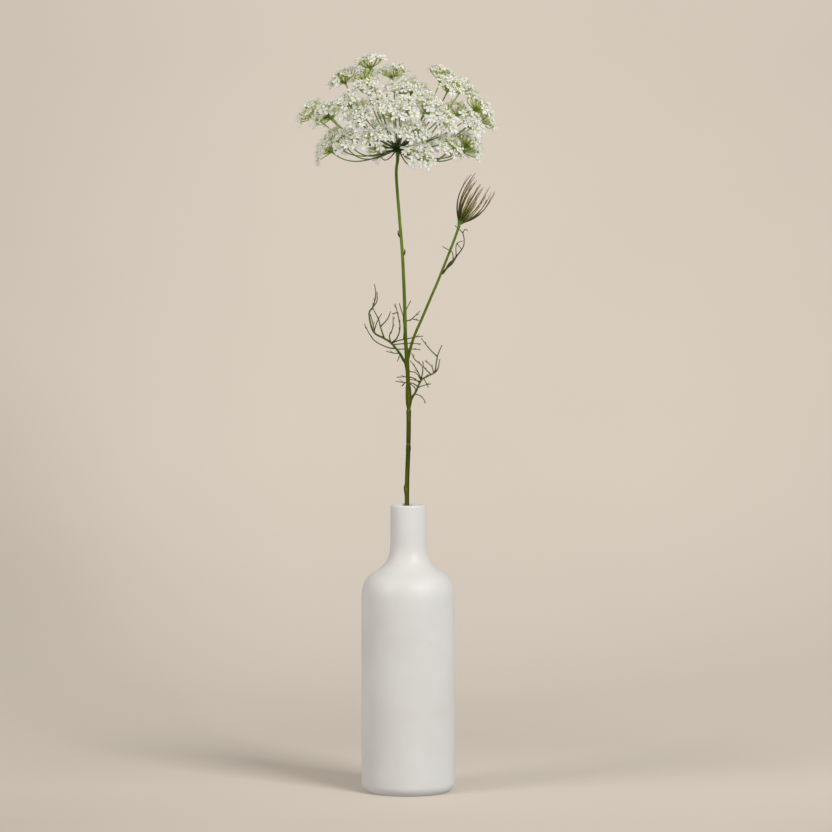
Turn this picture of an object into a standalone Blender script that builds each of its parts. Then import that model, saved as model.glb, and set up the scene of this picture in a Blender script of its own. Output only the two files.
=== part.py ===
"""A cut stem of wild carrot, with one open umbel and one closed, standing in a white bottle vase.

Metres, +Z up. The origin is the middle of the vase's flat base. +X is to the right of the front view,
and +Y points away from the viewer. Run with: blender --background --python part.py
"""

import math
from collections import namedtuple

import bmesh
import bpy
from mathutils import Matrix, Vector
from mathutils.geometry import intersect_point_line

MM = 0.001
GAP = 0.3 * MM  # clearance between pieces that touch
COLLECTION = "wild_carrot_in_vase"

# Vase: radii and heights of the outer form, and its wall
VASE_HEIGHT = 222 * MM
BODY_RADIUS = 36.1 * MM
NECK_RADIUS = 13.75 * MM
SHOULDER_LOW = 149.5 * MM
SHOULDER_HIGH = 193 * MM
SHOULDER_PULL_LOW = 28.5 * MM  # how far the body's straight side carries into the shoulder's curve
SHOULDER_PULL_HIGH = 30 * MM  # the same, from the neck
BASE_ROUND = 7 * MM
WALL = 3 * MM
FLOOR = 4 * MM
INNER_ROUND = 5 * MM
VASE_SIDES = 32
WATER_LEVEL = 128 * MM

# Main stem: its line from the cut foot to the underside of the umbel, and its radius along it
STEM_LINE = (
    (2.0, -15.0, 4.5),
    (0.5, -4.2, 100.0),
    (-0.8, 5.9, 190.0),
    (-1.0, 7.9, 214.0),
    (-0.8, 10.2, 240.0),
    (0.1, 13.0, 266.0),
    (0.4, 15.0, 290.0),
    (0.2, 16.2, 308.0),
    (-0.9, 18.0, 333.0),
    (-2.1, 19.0, 351.0),
    (-2.8, 20.4, 378.0),
    (-4.4, 22.0, 414.0),
    (-6.9, 23.0, 445.0),
    (-9.2, 23.8, 476.0),
    (-8.2, 24.0, 488.0),
    (-8.0, 24.0, 494.2),
)
STEM_GIRTH = (  # height, radius
    (0, 1.75),
    (291, 1.75),
    (294, 1.95),
    (296, 1.50),
    (303, 2.35),
    (312, 2.15),
    (322, 1.65),
    (334, 1.75),
    (345, 1.40),
    (420, 1.20),
    (485, 1.15),
    (495, 1.60),
)
STEM_STEP = 12 * MM  # spacing of the rings along a stem
STEM_JOINT = (291, 294, 296, 303, 308, 312)  # heights of extra rings at the swollen joint
LEAF_SCARS = (  # height, side it faces in degrees, size
    (235.5, 180, 1.5),
    (432.0, 180, 1.3),
    (418.0, 0, 1.3),
)
SCAR_DEPTH = 0.8 * MM  # how far a scar starts inside the stem's skin
SCAR_REACH = 0.7 * MM  # how far it stands out

# Side stem: it leaves the main stem above the upper leaf and ends under the closed umbel
SIDE_LINE = (
    (-0.9, 18.0, 331.0),
    (0.2, 18.2, 336.0),
    (2.6, 18.5, 345.0),
    (5.7, 18.7, 354.0),
    (10.8, 18.6, 365.5),
    (18.0, 18.2, 382.5),
    (23.0, 17.9, 394.0),
    (32.7, 17.2, 418.5),
    (37.1, 16.8, 430.0),
    (39.5, 16.5, 437.27),
)
SIDE_RADIUS = 1.1 * MM
SIDE_SWELL = 0.25  # how much wider it is where it leaves the main stem

# Open umbel: a hub with rays, each of which carries one umbellet
HUB = Vector((-8.0, 24.0, 497.0)) * MM
HUB_RADIUS = 3.4 * MM
HUB_HEIGHT = 2.4 * MM
RAY_RADIUS = 0.62 * MM
RAY_PIECES = 4
RAY_REACH = 0.38  # length of its curve's handles, as a share of its own
RAY_TAPER = 0.25  # how much wider it is at the hub
RAY_ROOT = 0.4  # where a ray starts, as a share of the hub's radius
RAY_ARCH = 20  # degrees by which a low ray leaves the hub below the line to its tip
Ray = namedtuple("Ray", "turn rise length")  # degrees from +X, degrees above level, mm
RAYS = (
    # lowest tier, some of it drooping
    Ray(-157, 2, 51),
    Ray(-133, 2, 53),
    Ray(-71, -10, 49),
    Ray(-45, -5, 53),
    Ray(-14, 0, 53),
    Ray(19, -3, 52),
    Ray(47, 0, 58),
    Ray(76, 2, 60),
    Ray(105, 0, 60),
    Ray(134, 2, 58),
    Ray(164, -3, 53),
    # middle tier
    Ray(174, 21, 69),
    Ray(-158, 22, 61),
    Ray(-136, 32, 58),
    Ray(-108, 5, 50),
    Ray(-77, 9, 50),
    Ray(-56, 17, 58),
    Ray(-31, 14, 63),
    Ray(-11, 25, 66),
    Ray(15, 18, 68),
    Ray(39, 24, 64),
    Ray(66, 27, 62),
    Ray(94, 24, 62),
    Ray(122, 26, 62),
    Ray(149, 22, 64),
    # upper tier
    Ray(179, 51, 64),
    Ray(-120, 18, 57),
    Ray(-84, 24, 58),
    Ray(-104, 30, 56),
    Ray(-64, 31, 56),
    Ray(-125, 46, 56),
    Ray(-84, 50, 52),
    Ray(-36, 42, 63),
    Ray(4, 42, 64),
    Ray(20, 56, 62),
    Ray(87, 53, 56),
    Ray(130, 54, 64),
    # crown
    Ray(-148, 68, 65),
    Ray(-48, 70, 44),
    Ray(110, 80, 54),
)
INVOLUCRE = 9  # forked bracts under the hub
BRACT_LENGTH = 21 * MM
BRACT_DROOP = 17  # degrees below level
BRACT_SWAY = 9  # degrees by which the droop differs from one bract to the next
BRACT_RADIUS = 0.33 * MM
BRACT_PIECES = 4
FORK_START = 0.55  # share of the bract's length
FORK_TURN = 28  # degrees
FORK_LENGTH = 0.38  # share of the bract's length

# Umbellets: pedicels that fan out of a small core and end in five-petalled florets
HEAD_LIFT = 0.5  # how much an umbellet turns up from its ray's direction
HEAD_LIFT_LOW = 0.4  # the same, added for a level or drooping ray
HEAD_LIFT_RISE = 12  # degrees above level at which nothing is added any more
HEAD_CENTRE = 8 * MM  # from the ray's tip to the middle of the umbellet
HEAD_NEAR = 60 * MM  # umbellets with their middles further apart than this can't meet
CORE_RADIUS = 1.1 * MM
RING_FLORETS = 6  # besides one in the middle
FLORET_TILT = 50  # degrees between a ring floret's pedicel and the umbellet's axis
PEDICEL_LENGTH = 12.5 * MM
PEDICEL_RADIUS = 0.38 * MM
FLORET_TURN = 0.9  # how much a floret turns from its pedicel towards the umbellet's axis
PETAL_REACH = 5.4 * MM
PETAL_NOTCH = 0.46  # a notch between petals, as a share of the reach
FLORET_DEPTH = 2.4 * MM
FLORET_CUP = 0.8 * MM  # how far the floret's middle lies below its petal tips
CELL_MARGIN = 0.2 * MM  # kept free on each side between two umbellets

# Closed umbel: rays and bracts that have curled up into a basket
BASKET_BASE = Vector((40.2, 16.5, 439.6)) * MM
BASKET_KNOB = 2.1 * MM
BASKET_TILT = 31  # degrees from upright, towards +X
BASKET_LEAN = 0.1  # how much shorter its rays are on that side, and longer on the other
BASKET_CURVE = ((0, 0.8), (6, 7.0), (16, 15.5), (36.5, 11.7))  # Bezier: along the axis, away from it
BASKET_RINGS = ((12, 1.0, 1.0), (7, 0.62, 0.88), (3, 0.25, 0.74))  # count, share of width, of length
BASKET_PIECES = 6
BASKET_BRACT = 0.72 * MM
BASKET_TIP = 0.32 * MM

# Leaves: routes of their thread-like segments from the leaf's root, in mm, and the root's radius
Strand = namedtuple("Strand", "radius points")
UPPER_LEAF_ROOT = Vector((-2.0, 18.0, 332.0)) * MM
UPPER_LEAF = (
    Strand(
        0.85,
        (
            (-1.9, 0, 1.4),
            (-4.5, 0.5, 6),
            (-11, 1.5, 14),
            (-17, 0.5, 18),
            (-24, -2, 22),
            (-27, -4.5, 29),
            (-28, -6, 38),
            (-25, -7, 43),
            (-23, -6, 52),
            (-24, -4, 60),
        ),
    ),
    Strand(0.45, ((-8, 1, 10), (-13, 3.5, 10.5), (-23, 7, 15), (-28, 8, 21), (-32, 7, 29))),
    Strand(0.50, ((-16.5, 0.6, 17.7), (-19.5, -4, 27), (-21, -7, 33), (-25, -12, 41))),
    Strand(0.45, ((-19.5, -4, 27), (-14, -8, 33), (-11.5, -9, 39))),
    Strand(0.42, ((-24.5, -2.2, 23), (-22, 2, 31), (-18.5, 5, 37))),
    Strand(0.50, ((-11, 1.5, 14), (-6.5, -2, 18.5), (-4.5, -4, 25), (-4.8, -4.5, 31), (-8, -5, 45))),
    Strand(0.35, ((-6.7, -4.8, 38), (-10.5, -6.5, 37))),
    Strand(0.45, ((-11.5, 1.5, 14.3), (-12.5, -2, 20), (-10, -6.5, 26), (-9.5, -9, 35))),
    Strand(0.48, ((-11, 1.5, 14), (-6, 6, 16), (-1, 7.2, 17), (9, 7.5, 19), (13.5, 7, 19.5))),
    Strand(0.40, ((-10, 1.3, 13), (-4, 5, 13.5), (3, 5.8, 14), (12, 5.2, 13.5))),
    Strand(0.38, ((-7, 0.9, 9.3), (-3, 4.3, 9.5), (5, 5.4, 9.5), (11.5, 4.8, 9))),
    Strand(0.45, ((-1.5, 7, 17), (-1, 7.6, 24), (0.5, 7.5, 30.5), (5, 7, 33), (11, 6, 39))),
    Strand(0.35, ((5, 7, 33), (10.5, 8.5, 31.5))),
    Strand(0.40, ((-1, 7.6, 25), (-1.8, 6.6, 33), (-0.5, 6, 38), (4, 5.5, 47))),
    Strand(0.35, ((-1.6, 6.5, 34.5), (-5, 5.5, 45))),
    Strand(0.38, ((-4.7, 0.6, 6.2), (-9, -1.5, 6.5), (-15, -3, 8))),
    Strand(0.35, ((-4, 0.4, 5.3), (-5.3, -1.5, 3), (-6.3, -2.5, 0))),
)
LOWER_LEAF_ROOT = Vector((2.1, 16.0, 303.5)) * MM
LOWER_LEAF = (
    Strand(0.80, ((1.6, 0, 1.8), (3.7, 0, 5), (8, -0.5, 14), (12.5, -2, 17), (20, -4, 21.5), (22.5, -5, 30.5))),
    Strand(0.48, ((18.5, -3.7, 20.6), (20.5, -6.5, 32.5), (24, -7.5, 41.5))),
    Strand(0.42, ((20.5, -6.5, 32.5), (14, -8.5, 39), (8, -9.5, 47))),
    Strand(0.42, ((15.5, -2.8, 18.8), (10, -6.5, 24.5), (9.5, -8.5, 28.5))),
    Strand(0.38, ((17.5, -3.3, 20), (16, 1, 25), (11, 3.5, 29))),
    Strand(0.45, ((8, -0.5, 14), (9, 2.5, 24), (3, 6.5, 30), (0.5, 7.5, 35))),
    Strand(0.42, ((8.5, -0.6, 14.4), (4.5, -5, 22.5), (-0.5, -6, 29.5))),
    Strand(0.40, ((8, -0.5, 14), (4, 4, 19.5), (-1.5, 6, 20.5), (-4, 6.2, 20.5))),
    Strand(0.40, ((7, -0.4, 12), (2, 4.2, 15.5), (-3, 6, 16.5), (-11, 7, 16))),
    Strand(0.38, ((7.6, -0.5, 13), (4, -4, 14), (-1, -6, 15))),
    Strand(0.42, ((5.6, -0.2, 9), (1.5, 4.3, 11.3), (-5, 5.8, 12), (-12, 5.5, 13))),
    Strand(0.35, ((-4.5, 5.8, 12), (-7, 4.8, 9.5))),
    Strand(0.38, ((3.8, 0, 5.2), (3, -3, 8.3), (-1.5, -5.5, 12.2))),
    Strand(0.38, ((2.8, 0, 3.5), (8, 1.5, 1.5), (11.5, 2.5, -3.3))),
    Strand(0.40, ((5.2, -0.2, 8), (9.5, -3.5, 10), (15.5, -6, 11.4))),
    Strand(0.35, ((10, -1.2, 15.3), (12, -3.5, 11.5), (13.5, -4.5, 8.5))),
)
SIDE_LEAF_ROOT = Vector((26.4, 17.8, 401.4)) * MM
SIDE_LEAF = (
    Strand(0.60, ((1.9, 0, 0.3), (4.8, 0, 4.6), (8.9, 0, 9.2), (10.6, 0, 11.7))),
    Strand(0.46, ((10.2, 0, 11), (15.9, 0, 18.8), (17, 1.2, 24.6), (15.9, 2.6, 30), (13.2, 3.6, 33), (10, 4, 35.8))),
    Strand(0.38, ((10.6, 0, 12), (10.6, -2.6, 18.8), (11.6, -3.5, 22.3), (15.9, -4.5, 24))),
    Strand(0.35, ((11.5, -3.4, 22), (14.8, -4.5, 17.6))),
    Strand(0.35, ((15.9, 2.5, 30), (17.5, 2, 32.8), (19.7, 1.5, 32))),
    Strand(0.38, ((8.5, 0, 9), (7.6, -3.2, 15.5), (3.5, -3.6, 17.8), (0.4, -3.2, 19.6))),
)
SHEATH = (Vector((6.2, 0, 6.2)) * MM, 1.25 * MM, 4.2 * MM)  # middle, radius, half length of its swelling
STRAND_TIP = 0.3 * MM
STRAND_STEP = 6 * MM


def clear_scene():
    for obj in list(bpy.data.objects):
        bpy.data.objects.remove(obj, do_unlink=True)


def new_collection(name, hidden=False):
    collection = bpy.data.collections.new(name)
    collection.hide_render = hidden
    bpy.context.scene.collection.children.link(collection)
    return collection


def principled(name, colour, roughness):
    material = bpy.data.materials.new(name)
    material.use_nodes = True
    shader = material.node_tree.nodes["Principled BSDF"]
    shader.inputs["Base Color"].default_value = (*colour, 1)
    shader.inputs["Roughness"].default_value = roughness
    shader.inputs["Metallic"].default_value = 0
    return material


def link(name, data, collection, material=None):
    obj = bpy.data.objects.new(name, data)
    collection.objects.link(obj)
    if material:
        data.materials.clear()
        data.materials.append(material)
    return obj


def bezier(controls, share):
    """The point at that share of a cubic Bezier with four control points."""
    a, b, c, d = (Vector(p) for p in controls)
    rest = 1 - share
    return a * rest**3 + b * 3 * rest**2 * share + c * 3 * rest * share**2 + d * share**3


def direction(turn, rise):
    """Unit vector, from degrees round +Z and degrees above level."""
    turn, rise = math.radians(turn), math.radians(rise)
    return Vector((math.cos(rise) * math.cos(turn), math.cos(rise) * math.sin(turn), math.sin(rise)))


def smooth_line(points, step):
    """Points of a Catmull-Rom curve through points, about a step apart."""
    points = [Vector(p) for p in points]
    ends = [points[0] * 2 - points[1]] + points + [points[-1] * 2 - points[-2]]
    line = []
    for before, a, b, after in zip(ends, ends[1:], ends[2:], ends[3:]):
        pieces = max(1, round((b - a).length / step))
        for k in range(pieces):
            t = k / pieces
            line.append(
                a
                + (b - before) * (t / 2)
                + (before * 2 - a * 5 + b * 4 - after) * (t**2 / 2)
                + (a * 3 - before - b * 3 + after) * (t**3 / 2)
            )
    return line + [points[-1]]


def tube(name, line, radii, collection, material, resolution=0):
    """A mesh tube along a line, made from a bevelled curve with filled caps that are then welded."""
    curve = bpy.data.curves.new(name, "CURVE")
    curve.dimensions = "3D"
    curve.bevel_depth = 1
    curve.bevel_resolution = resolution
    curve.use_fill_caps = True
    spline = curve.splines.new("POLY")
    spline.points.add(len(line) - 1)
    for point, place, radius in zip(spline.points, line, radii):
        point.co = (*place, 1)
        point.radius = radius
    guide = link(name + "_line", curve, collection)
    graph = bpy.context.evaluated_depsgraph_get()
    mesh = bpy.data.meshes.new_from_object(guide.evaluated_get(graph))
    welded = bmesh.new()
    welded.from_mesh(mesh)
    bmesh.ops.remove_doubles(welded, verts=welded.verts, dist=0.01 * MM)
    bmesh.ops.recalc_face_normals(welded, faces=welded.faces)
    welded.to_mesh(mesh)
    welded.free()
    obj = link(name, mesh, collection, material)
    obj.matrix_world = guide.matrix_world
    bpy.data.objects.remove(guide)
    bpy.data.curves.remove(curve)
    return obj


def fuse(base, pieces, parts):
    """Joins the pieces' collection to the base object by one Boolean union, and removes the pieces."""
    union = base.modifiers.new("union", "BOOLEAN")
    union.operation = "UNION"
    union.operand_type = "COLLECTION"
    union.solver = "MANIFOLD"
    union.collection = pieces
    graph = bpy.context.evaluated_depsgraph_get()
    joined = bpy.data.meshes.new_from_object(base.evaluated_get(graph))
    base.modifiers.remove(union)
    base.data = joined
    for obj in list(pieces.objects):
        bpy.data.objects.remove(obj)
    bpy.data.collections.remove(pieces)
    if base.name not in parts.objects:
        parts.objects.link(base)
    return base


def shade(obj, angle=35):
    obj.data.shade_smooth()
    obj.data.set_sharp_from_angle(angle=math.radians(angle))


def turned(name, profile, sides, collection, material):
    """A solid of revolution about Z, from (radius, height) points that start and end on the axis."""
    mesh = bpy.data.meshes.new(name)
    edges = [(i, i + 1) for i in range(len(profile) - 1)]
    mesh.from_pydata([(radius, 0, height) for radius, height in profile], edges, [])
    obj = link(name, mesh, collection, material)
    screw = obj.modifiers.new("screw", "SCREW")
    screw.steps = sides
    screw.render_steps = sides
    screw.use_merge_vertices = True
    screw.merge_threshold = 0.01 * MM
    screw.use_smooth_shade = True
    return obj


def arc(centre, radius, start, end, pieces):
    """(radius, height) points on an arc, with its angles in degrees from outwards."""
    turns = [math.radians(start + (end - start) * k / pieces) for k in range(pieces + 1)]
    return [(centre[0] + radius * math.cos(a), centre[1] + radius * math.sin(a)) for a in turns]


def shoulder(inset, pieces):
    """(radius, height) points down the shoulder, from the neck to the body, set in by the wall."""
    neck, body = NECK_RADIUS - inset, BODY_RADIUS - inset
    drop = inset / 2
    controls = (
        (neck, SHOULDER_HIGH - drop, 0),
        (neck, SHOULDER_HIGH - SHOULDER_PULL_HIGH - drop, 0),
        (body, SHOULDER_LOW + SHOULDER_PULL_LOW - drop, 0),
        (body, SHOULDER_LOW - drop, 0),
    )
    return [tuple(bezier(controls, k / pieces).xy) for k in range(pieces + 1)]


def vase(parts):
    """A thick-walled bottle: inner floor, inner wall, rounded lip, outer wall, flat base."""
    lip = WALL / 2
    inner = BODY_RADIUS - WALL
    profile = [(0, FLOOR)]
    profile += arc((inner - INNER_ROUND, FLOOR + INNER_ROUND), INNER_ROUND, -90, 0, 2)
    profile += shoulder(WALL, 5)[::-1]
    profile += arc((NECK_RADIUS - lip, VASE_HEIGHT - lip), lip, 180, 0, 4)
    profile += shoulder(0, 8)
    profile += arc((BODY_RADIUS - BASE_ROUND, BASE_ROUND), BASE_ROUND, 0, -90, 3)
    profile += [(0, 0)]
    ceramic = principled("ceramic", (0.74, 0.73, 0.70), 0.55)
    return turned("vase", profile, VASE_SIDES, parts, ceramic)


def water(parts, cutters):
    """The water that the cut stem stands in, with a plain hole for the stem."""
    reach = BODY_RADIUS - WALL - GAP
    low = FLOOR + GAP
    profile = [(0, WATER_LEVEL), (reach, WATER_LEVEL)]
    profile += arc((reach - INNER_ROUND, low + INNER_ROUND), INNER_ROUND, 0, -90, 2)
    profile += [(0, low)]
    fill = turned("water", profile, VASE_SIDES, parts, principled("water", (0.75, 0.82, 0.84), 0.05))
    foot, rise = Vector(STEM_LINE[0]) * MM, Vector(STEM_LINE[1]) * MM
    beyond = 0.4  # share of the stem's first stretch by which the cutter runs past both faces
    line = [foot.lerp(rise, -beyond / 4)] + stem_line()[1:]
    line = [p for p in line if p.z < WATER_LEVEL * (1 + beyond)]
    girth = STEM_GIRTH[0][1] * MM + GAP * 1.5
    hole = tube("stem_hole", line, [girth] * len(line), cutters, None, resolution=2)
    hole.hide_render = True
    hole.display_type = "WIRE"
    cut = fill.modifiers.new("stem_hole", "BOOLEAN")
    cut.operation = "DIFFERENCE"
    cut.object = hole
    return fill


def stem_line():
    return smooth_line([Vector(p) * MM for p in STEM_LINE], STEM_STEP)


def girth_at(height):
    """The main stem's radius at a height, in metres."""
    for (low, start), (high, end) in zip(STEM_GIRTH, STEM_GIRTH[1:]):
        if height <= high * MM:
            share = (height / MM - low) / (high - low)
            return (start + (end - start) * share) * MM
    return STEM_GIRTH[-1][1] * MM


def point_at_height(line, height):
    for a, b in zip(line, line[1:]):
        if a.z <= height <= b.z:
            return a.lerp(b, (height - a.z) / (b.z - a.z))
    return line[-1]


def stem(parts):
    """Main stem with its swollen joint and leaf scars, and the side stem that grows out of it."""
    green = principled("stem_green", (0.12, 0.22, 0.03), 0.5)
    line = stem_line()
    joint = [point_at_height(line, height * MM) for height in STEM_JOINT]
    clear = [p for p in line if not STEM_JOINT[0] * MM - GAP < p.z < STEM_JOINT[-1] * MM + GAP]
    rings = sorted(clear + joint, key=lambda p: p.z)
    main = tube("stem", rings, [girth_at(p.z) for p in rings], parts, green, resolution=2)
    grown = new_collection("grown")
    side = smooth_line([Vector(p) * MM for p in SIDE_LINE], STEM_STEP)
    swell = [SIDE_RADIUS * (1 + SIDE_SWELL * max(0, 1 - k / 3)) for k in range(len(side))]
    tube("side_stem", side, swell, grown, green, resolution=1)
    for number, (height, facing, size) in enumerate(LEAF_SCARS):
        out = direction(facing, 0)
        place = point_at_height(line, height * MM)
        root = place + out * (girth_at(place.z) - SCAR_DEPTH)
        tip = place + out * (girth_at(place.z) + SCAR_REACH) + Vector((0, 0, size * MM))
        tube(f"scar_{number}", [root, tip], [size * MM, size * MM / 3], grown, green, resolution=0)
    shade(fuse(main, grown, parts))
    return main


def strand_radii(line, radius, swelling=None):
    """Radii that taper to the tip, wider round the middle of a swelling where one is given."""
    last = len(line) - 1
    radii = [radius + (STRAND_TIP - radius) * (k / last) ** 1.5 for k in range(last + 1)]
    if swelling:
        middle, wide, reach = swelling
        for k, place in enumerate(line):
            share = max(0, 1 - (place - middle).length / reach)
            radii[k] += (wide - radii[k]) * share**0.7
    return radii


def nearest_on(lines, place):
    """The point closest to a place on any of the lines."""
    spots = []
    for line in lines:
        for a, b in zip(line, line[1:]):
            share = intersect_point_line(place, a, b)[1]
            spots.append(a.lerp(b, min(1, max(0, share))))
    return min(spots, key=lambda spot: (spot - place).length)


def leaf(name, root, strands, colour, parts, swelling=None):
    """A finely cut leaf: every segment is a thread fused to an earlier one that it starts inside."""
    green = principled(name + "_green", colour, 0.5)
    threads = new_collection(name + "_threads")
    made = []
    lines = []
    for number, strand in enumerate(strands):
        points = [Vector(p) * MM for p in strand.points]
        if lines:
            points[0] = nearest_on(lines, points[0])
        step = STRAND_STEP / 2 if swelling and number == 0 else STRAND_STEP
        line = smooth_line(points, step)
        lines.append(line)
        radii = strand_radii(line, strand.radius * MM, swelling if number == 0 else None)
        placed = [root + p for p in line]
        holder = threads if number else parts
        made.append(tube(f"{name}_{number}" if number else name, placed, radii, holder, green))
    blade = fuse(made[0], threads, parts)
    shade(blade)
    return blade


def head_axis(ray):
    """The way an umbellet faces: its ray's direction, turned up a little, and more on a low ray."""
    lift = HEAD_LIFT + HEAD_LIFT_LOW * min(1, max(0, 1 - ray.rise / HEAD_LIFT_RISE))
    return (direction(ray.turn, ray.rise) + Vector((0, 0, lift))).normalized()


def ray_tip(ray):
    return HUB + direction(ray.turn, ray.rise) * ray.length * MM


def ray_line(ray, pieces):
    """A ray leaves the hub low, arches, and ends along its umbellet's axis."""
    reach = ray.length * MM * RAY_REACH
    low = ray.rise - RAY_ARCH * math.cos(math.radians(ray.rise))
    tip = ray_tip(ray)
    start = HUB + direction(ray.turn, low) * HUB_RADIUS * RAY_ROOT
    controls = (start, HUB + direction(ray.turn, low) * reach, tip - head_axis(ray) * reach, tip)
    return [bezier(controls, k / pieces) for k in range(pieces + 1)]


def bract_lines(number):
    """A bract under the hub, and the fork that leaves it half way."""
    turn = 360 / INVOLUCRE * (number + 0.3)
    droop = BRACT_DROOP + BRACT_SWAY * math.sin(number * 2.1)
    length = BRACT_LENGTH * (0.85 + 0.2 * math.cos(number * 1.7))
    base = HUB - Vector((0, 0, HUB_HEIGHT * 0.3))
    tip = base + direction(turn, -droop) * length
    bend = base + direction(turn, 4 - droop) * length * 0.5
    controls = (base, base.lerp(bend, 0.6), bend, tip)
    main = [bezier(controls, k / BRACT_PIECES) for k in range(BRACT_PIECES + 1)]
    fork_root = bezier(controls, FORK_START)
    fork_tip = fork_root + direction(turn + FORK_TURN, 6 - droop) * length * FORK_LENGTH
    return main, [fork_root, fork_tip]


def umbel_rays(parts):
    """The hub, its arching rays and the forked bracts below it, as one green body."""
    green = principled("ray_green", (0.16, 0.26, 0.05), 0.5)
    mesh = bpy.data.meshes.new("umbel_rays")
    ball = bmesh.new()
    bmesh.ops.create_uvsphere(ball, u_segments=10, v_segments=6, radius=HUB_RADIUS)
    squash = Matrix.Diagonal((1, 1, HUB_HEIGHT / HUB_RADIUS, 1))
    bmesh.ops.transform(ball, matrix=Matrix.Translation(HUB) @ squash, verts=ball.verts)
    ball.to_mesh(mesh)
    ball.free()
    hub = link("umbel_rays", mesh, parts, green)
    spokes = new_collection("spokes")
    for number, ray in enumerate(RAYS):
        line = ray_line(ray, RAY_PIECES)
        radii = [RAY_RADIUS * (1 + RAY_TAPER * (1 - k / RAY_PIECES)) for k in range(RAY_PIECES + 1)]
        tube(f"ray_{number}", line, radii, spokes, green)
    for number in range(INVOLUCRE):
        main, fork = bract_lines(number)
        radii = [BRACT_RADIUS * (1.5 - 0.5 * k / BRACT_PIECES) for k in range(BRACT_PIECES + 1)]
        tube(f"bract_{number}", main, radii, spokes, green)
        tube(f"fork_{number}", fork, [BRACT_RADIUS] * 2, spokes, green)
    fuse(hub, spokes, parts)
    shade(hub)
    return hub


def head_middle(ray):
    return ray_tip(ray) + head_axis(ray) * HEAD_CENTRE


def kept_in_cell(place, ray):
    """Moves a floret's middle back over the planes half way to the neighbouring umbellets."""
    own = head_middle(ray)
    for _ in range(4):
        for other in RAYS:
            across = head_middle(other) - own
            if other is ray or across.length > HEAD_NEAR:
                continue
            limit = across.length / 2 - CELL_MARGIN - PETAL_REACH
            over = (place - own).dot(across.normalized()) - limit
            if over > 0:
                place = place - across.normalized() * over
    return place


def grow_floret(head, face, centre, facing):
    """Grows a face of the core into a pedicel that flares to a cup of five pointed petals."""
    foot = list(face.verts)
    root = face.calc_center_median()
    along = (centre - root).normalized()
    head.faces.remove(face)

    def spread(vert):
        away = vert.co - root
        return (away - along * away.dot(along)).normalized()

    throat_middle = centre - facing * FLORET_DEPTH
    throat = [head.verts.new(throat_middle + spread(vert) * PEDICEL_RADIUS) for vert in foot]
    across = spread(foot[0])
    across = (across - facing * across.dot(facing)).normalized()
    aside = facing.cross(across)
    star = []
    for k in range(10):
        turn = math.tau * k / 10
        reach = PETAL_REACH * (PETAL_NOTCH if k % 2 else 1)
        star.append(head.verts.new(centre + (across * math.cos(turn) + aside * math.sin(turn)) * reach))
    cup = head.verts.new(centre - facing * FLORET_CUP)
    for k in range(3):
        head.faces.new((foot[k], foot[(k + 1) % 3], throat[(k + 1) % 3], throat[k]))
    for k in range(10):
        beyond = (k + 1) % 10
        near = round(k * 3 / 10) % 3
        far = round((k + 1) * 3 / 10) % 3
        head.faces.new((throat[near], star[beyond], star[k]))
        if near != far:
            head.faces.new((throat[near], throat[far], star[beyond]))
        head.faces.new((star[k], star[beyond], cup))


def umbellet(number, ray, white, parts):
    """A fan of florets on the tip of one ray, grown from the faces of a small twenty-sided core."""
    name = f"umbellet_{number + 1:02d}"
    axis = head_axis(ray)
    middle = ray_tip(ray) + axis * (CORE_RADIUS + GAP)
    head = bmesh.new()
    bmesh.ops.create_icosphere(head, subdivisions=1, radius=CORE_RADIUS)
    bmesh.ops.recalc_face_normals(head, faces=head.faces)
    crown = max(head.faces, key=lambda face: face.calc_center_median().z)
    upright = crown.normal.rotation_difference(axis).to_matrix().to_4x4()
    bmesh.ops.transform(head, matrix=Matrix.Translation(middle) @ upright, verts=head.verts)
    across = axis.orthogonal().normalized()
    aside = axis.cross(across)

    def bearing(face):
        away = face.calc_center_median() - middle
        return math.atan2(away.dot(aside), away.dot(across))

    faces = sorted(head.faces, key=lambda face: -face.calc_center_median().dot(axis))
    ring = sorted(faces[4 : 4 + RING_FLORETS], key=bearing)
    start = sum(bearing(face) for face in ring) / RING_FLORETS + math.pi / RING_FLORETS - math.pi
    for k, face in enumerate([faces[0]] + ring):
        tilt = math.radians(FLORET_TILT + 5 * math.sin(number * 2.3 + k * 1.9)) if k else 0
        turn = start + math.tau * (k - 1) / RING_FLORETS
        outward = across * math.cos(turn) + aside * math.sin(turn)
        along = axis * math.cos(tilt) + outward * math.sin(tilt)
        root = face.calc_center_median()
        centre = kept_in_cell(middle + along * (PEDICEL_LENGTH + CORE_RADIUS), ray)
        facing = ((centre - root).normalized() + axis * FLORET_TURN).normalized()
        grow_floret(head, face, centre, facing)
    bmesh.ops.recalc_face_normals(head, faces=head.faces)
    mesh = bpy.data.meshes.new(name)
    head.to_mesh(mesh)
    head.free()
    bloom = link(name, mesh, parts, white)
    shade(bloom, 20)
    return bloom


def basket_line(spin, width, length, pieces):
    """One curled ray of the closed umbel, at an angle round its axis."""
    axis = direction(0, 90 - BASKET_TILT)
    across = direction(0, -BASKET_TILT)
    aside = axis.cross(across)
    outward = across * math.cos(spin) + aside * math.sin(spin)
    line = []
    for k in range(pieces + 1):
        along, away, _ = bezier([(*p, 0) for p in BASKET_CURVE], k / pieces)
        line.append(BASKET_BASE + axis * along * length * MM + outward * away * width * MM)
    return line


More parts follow.
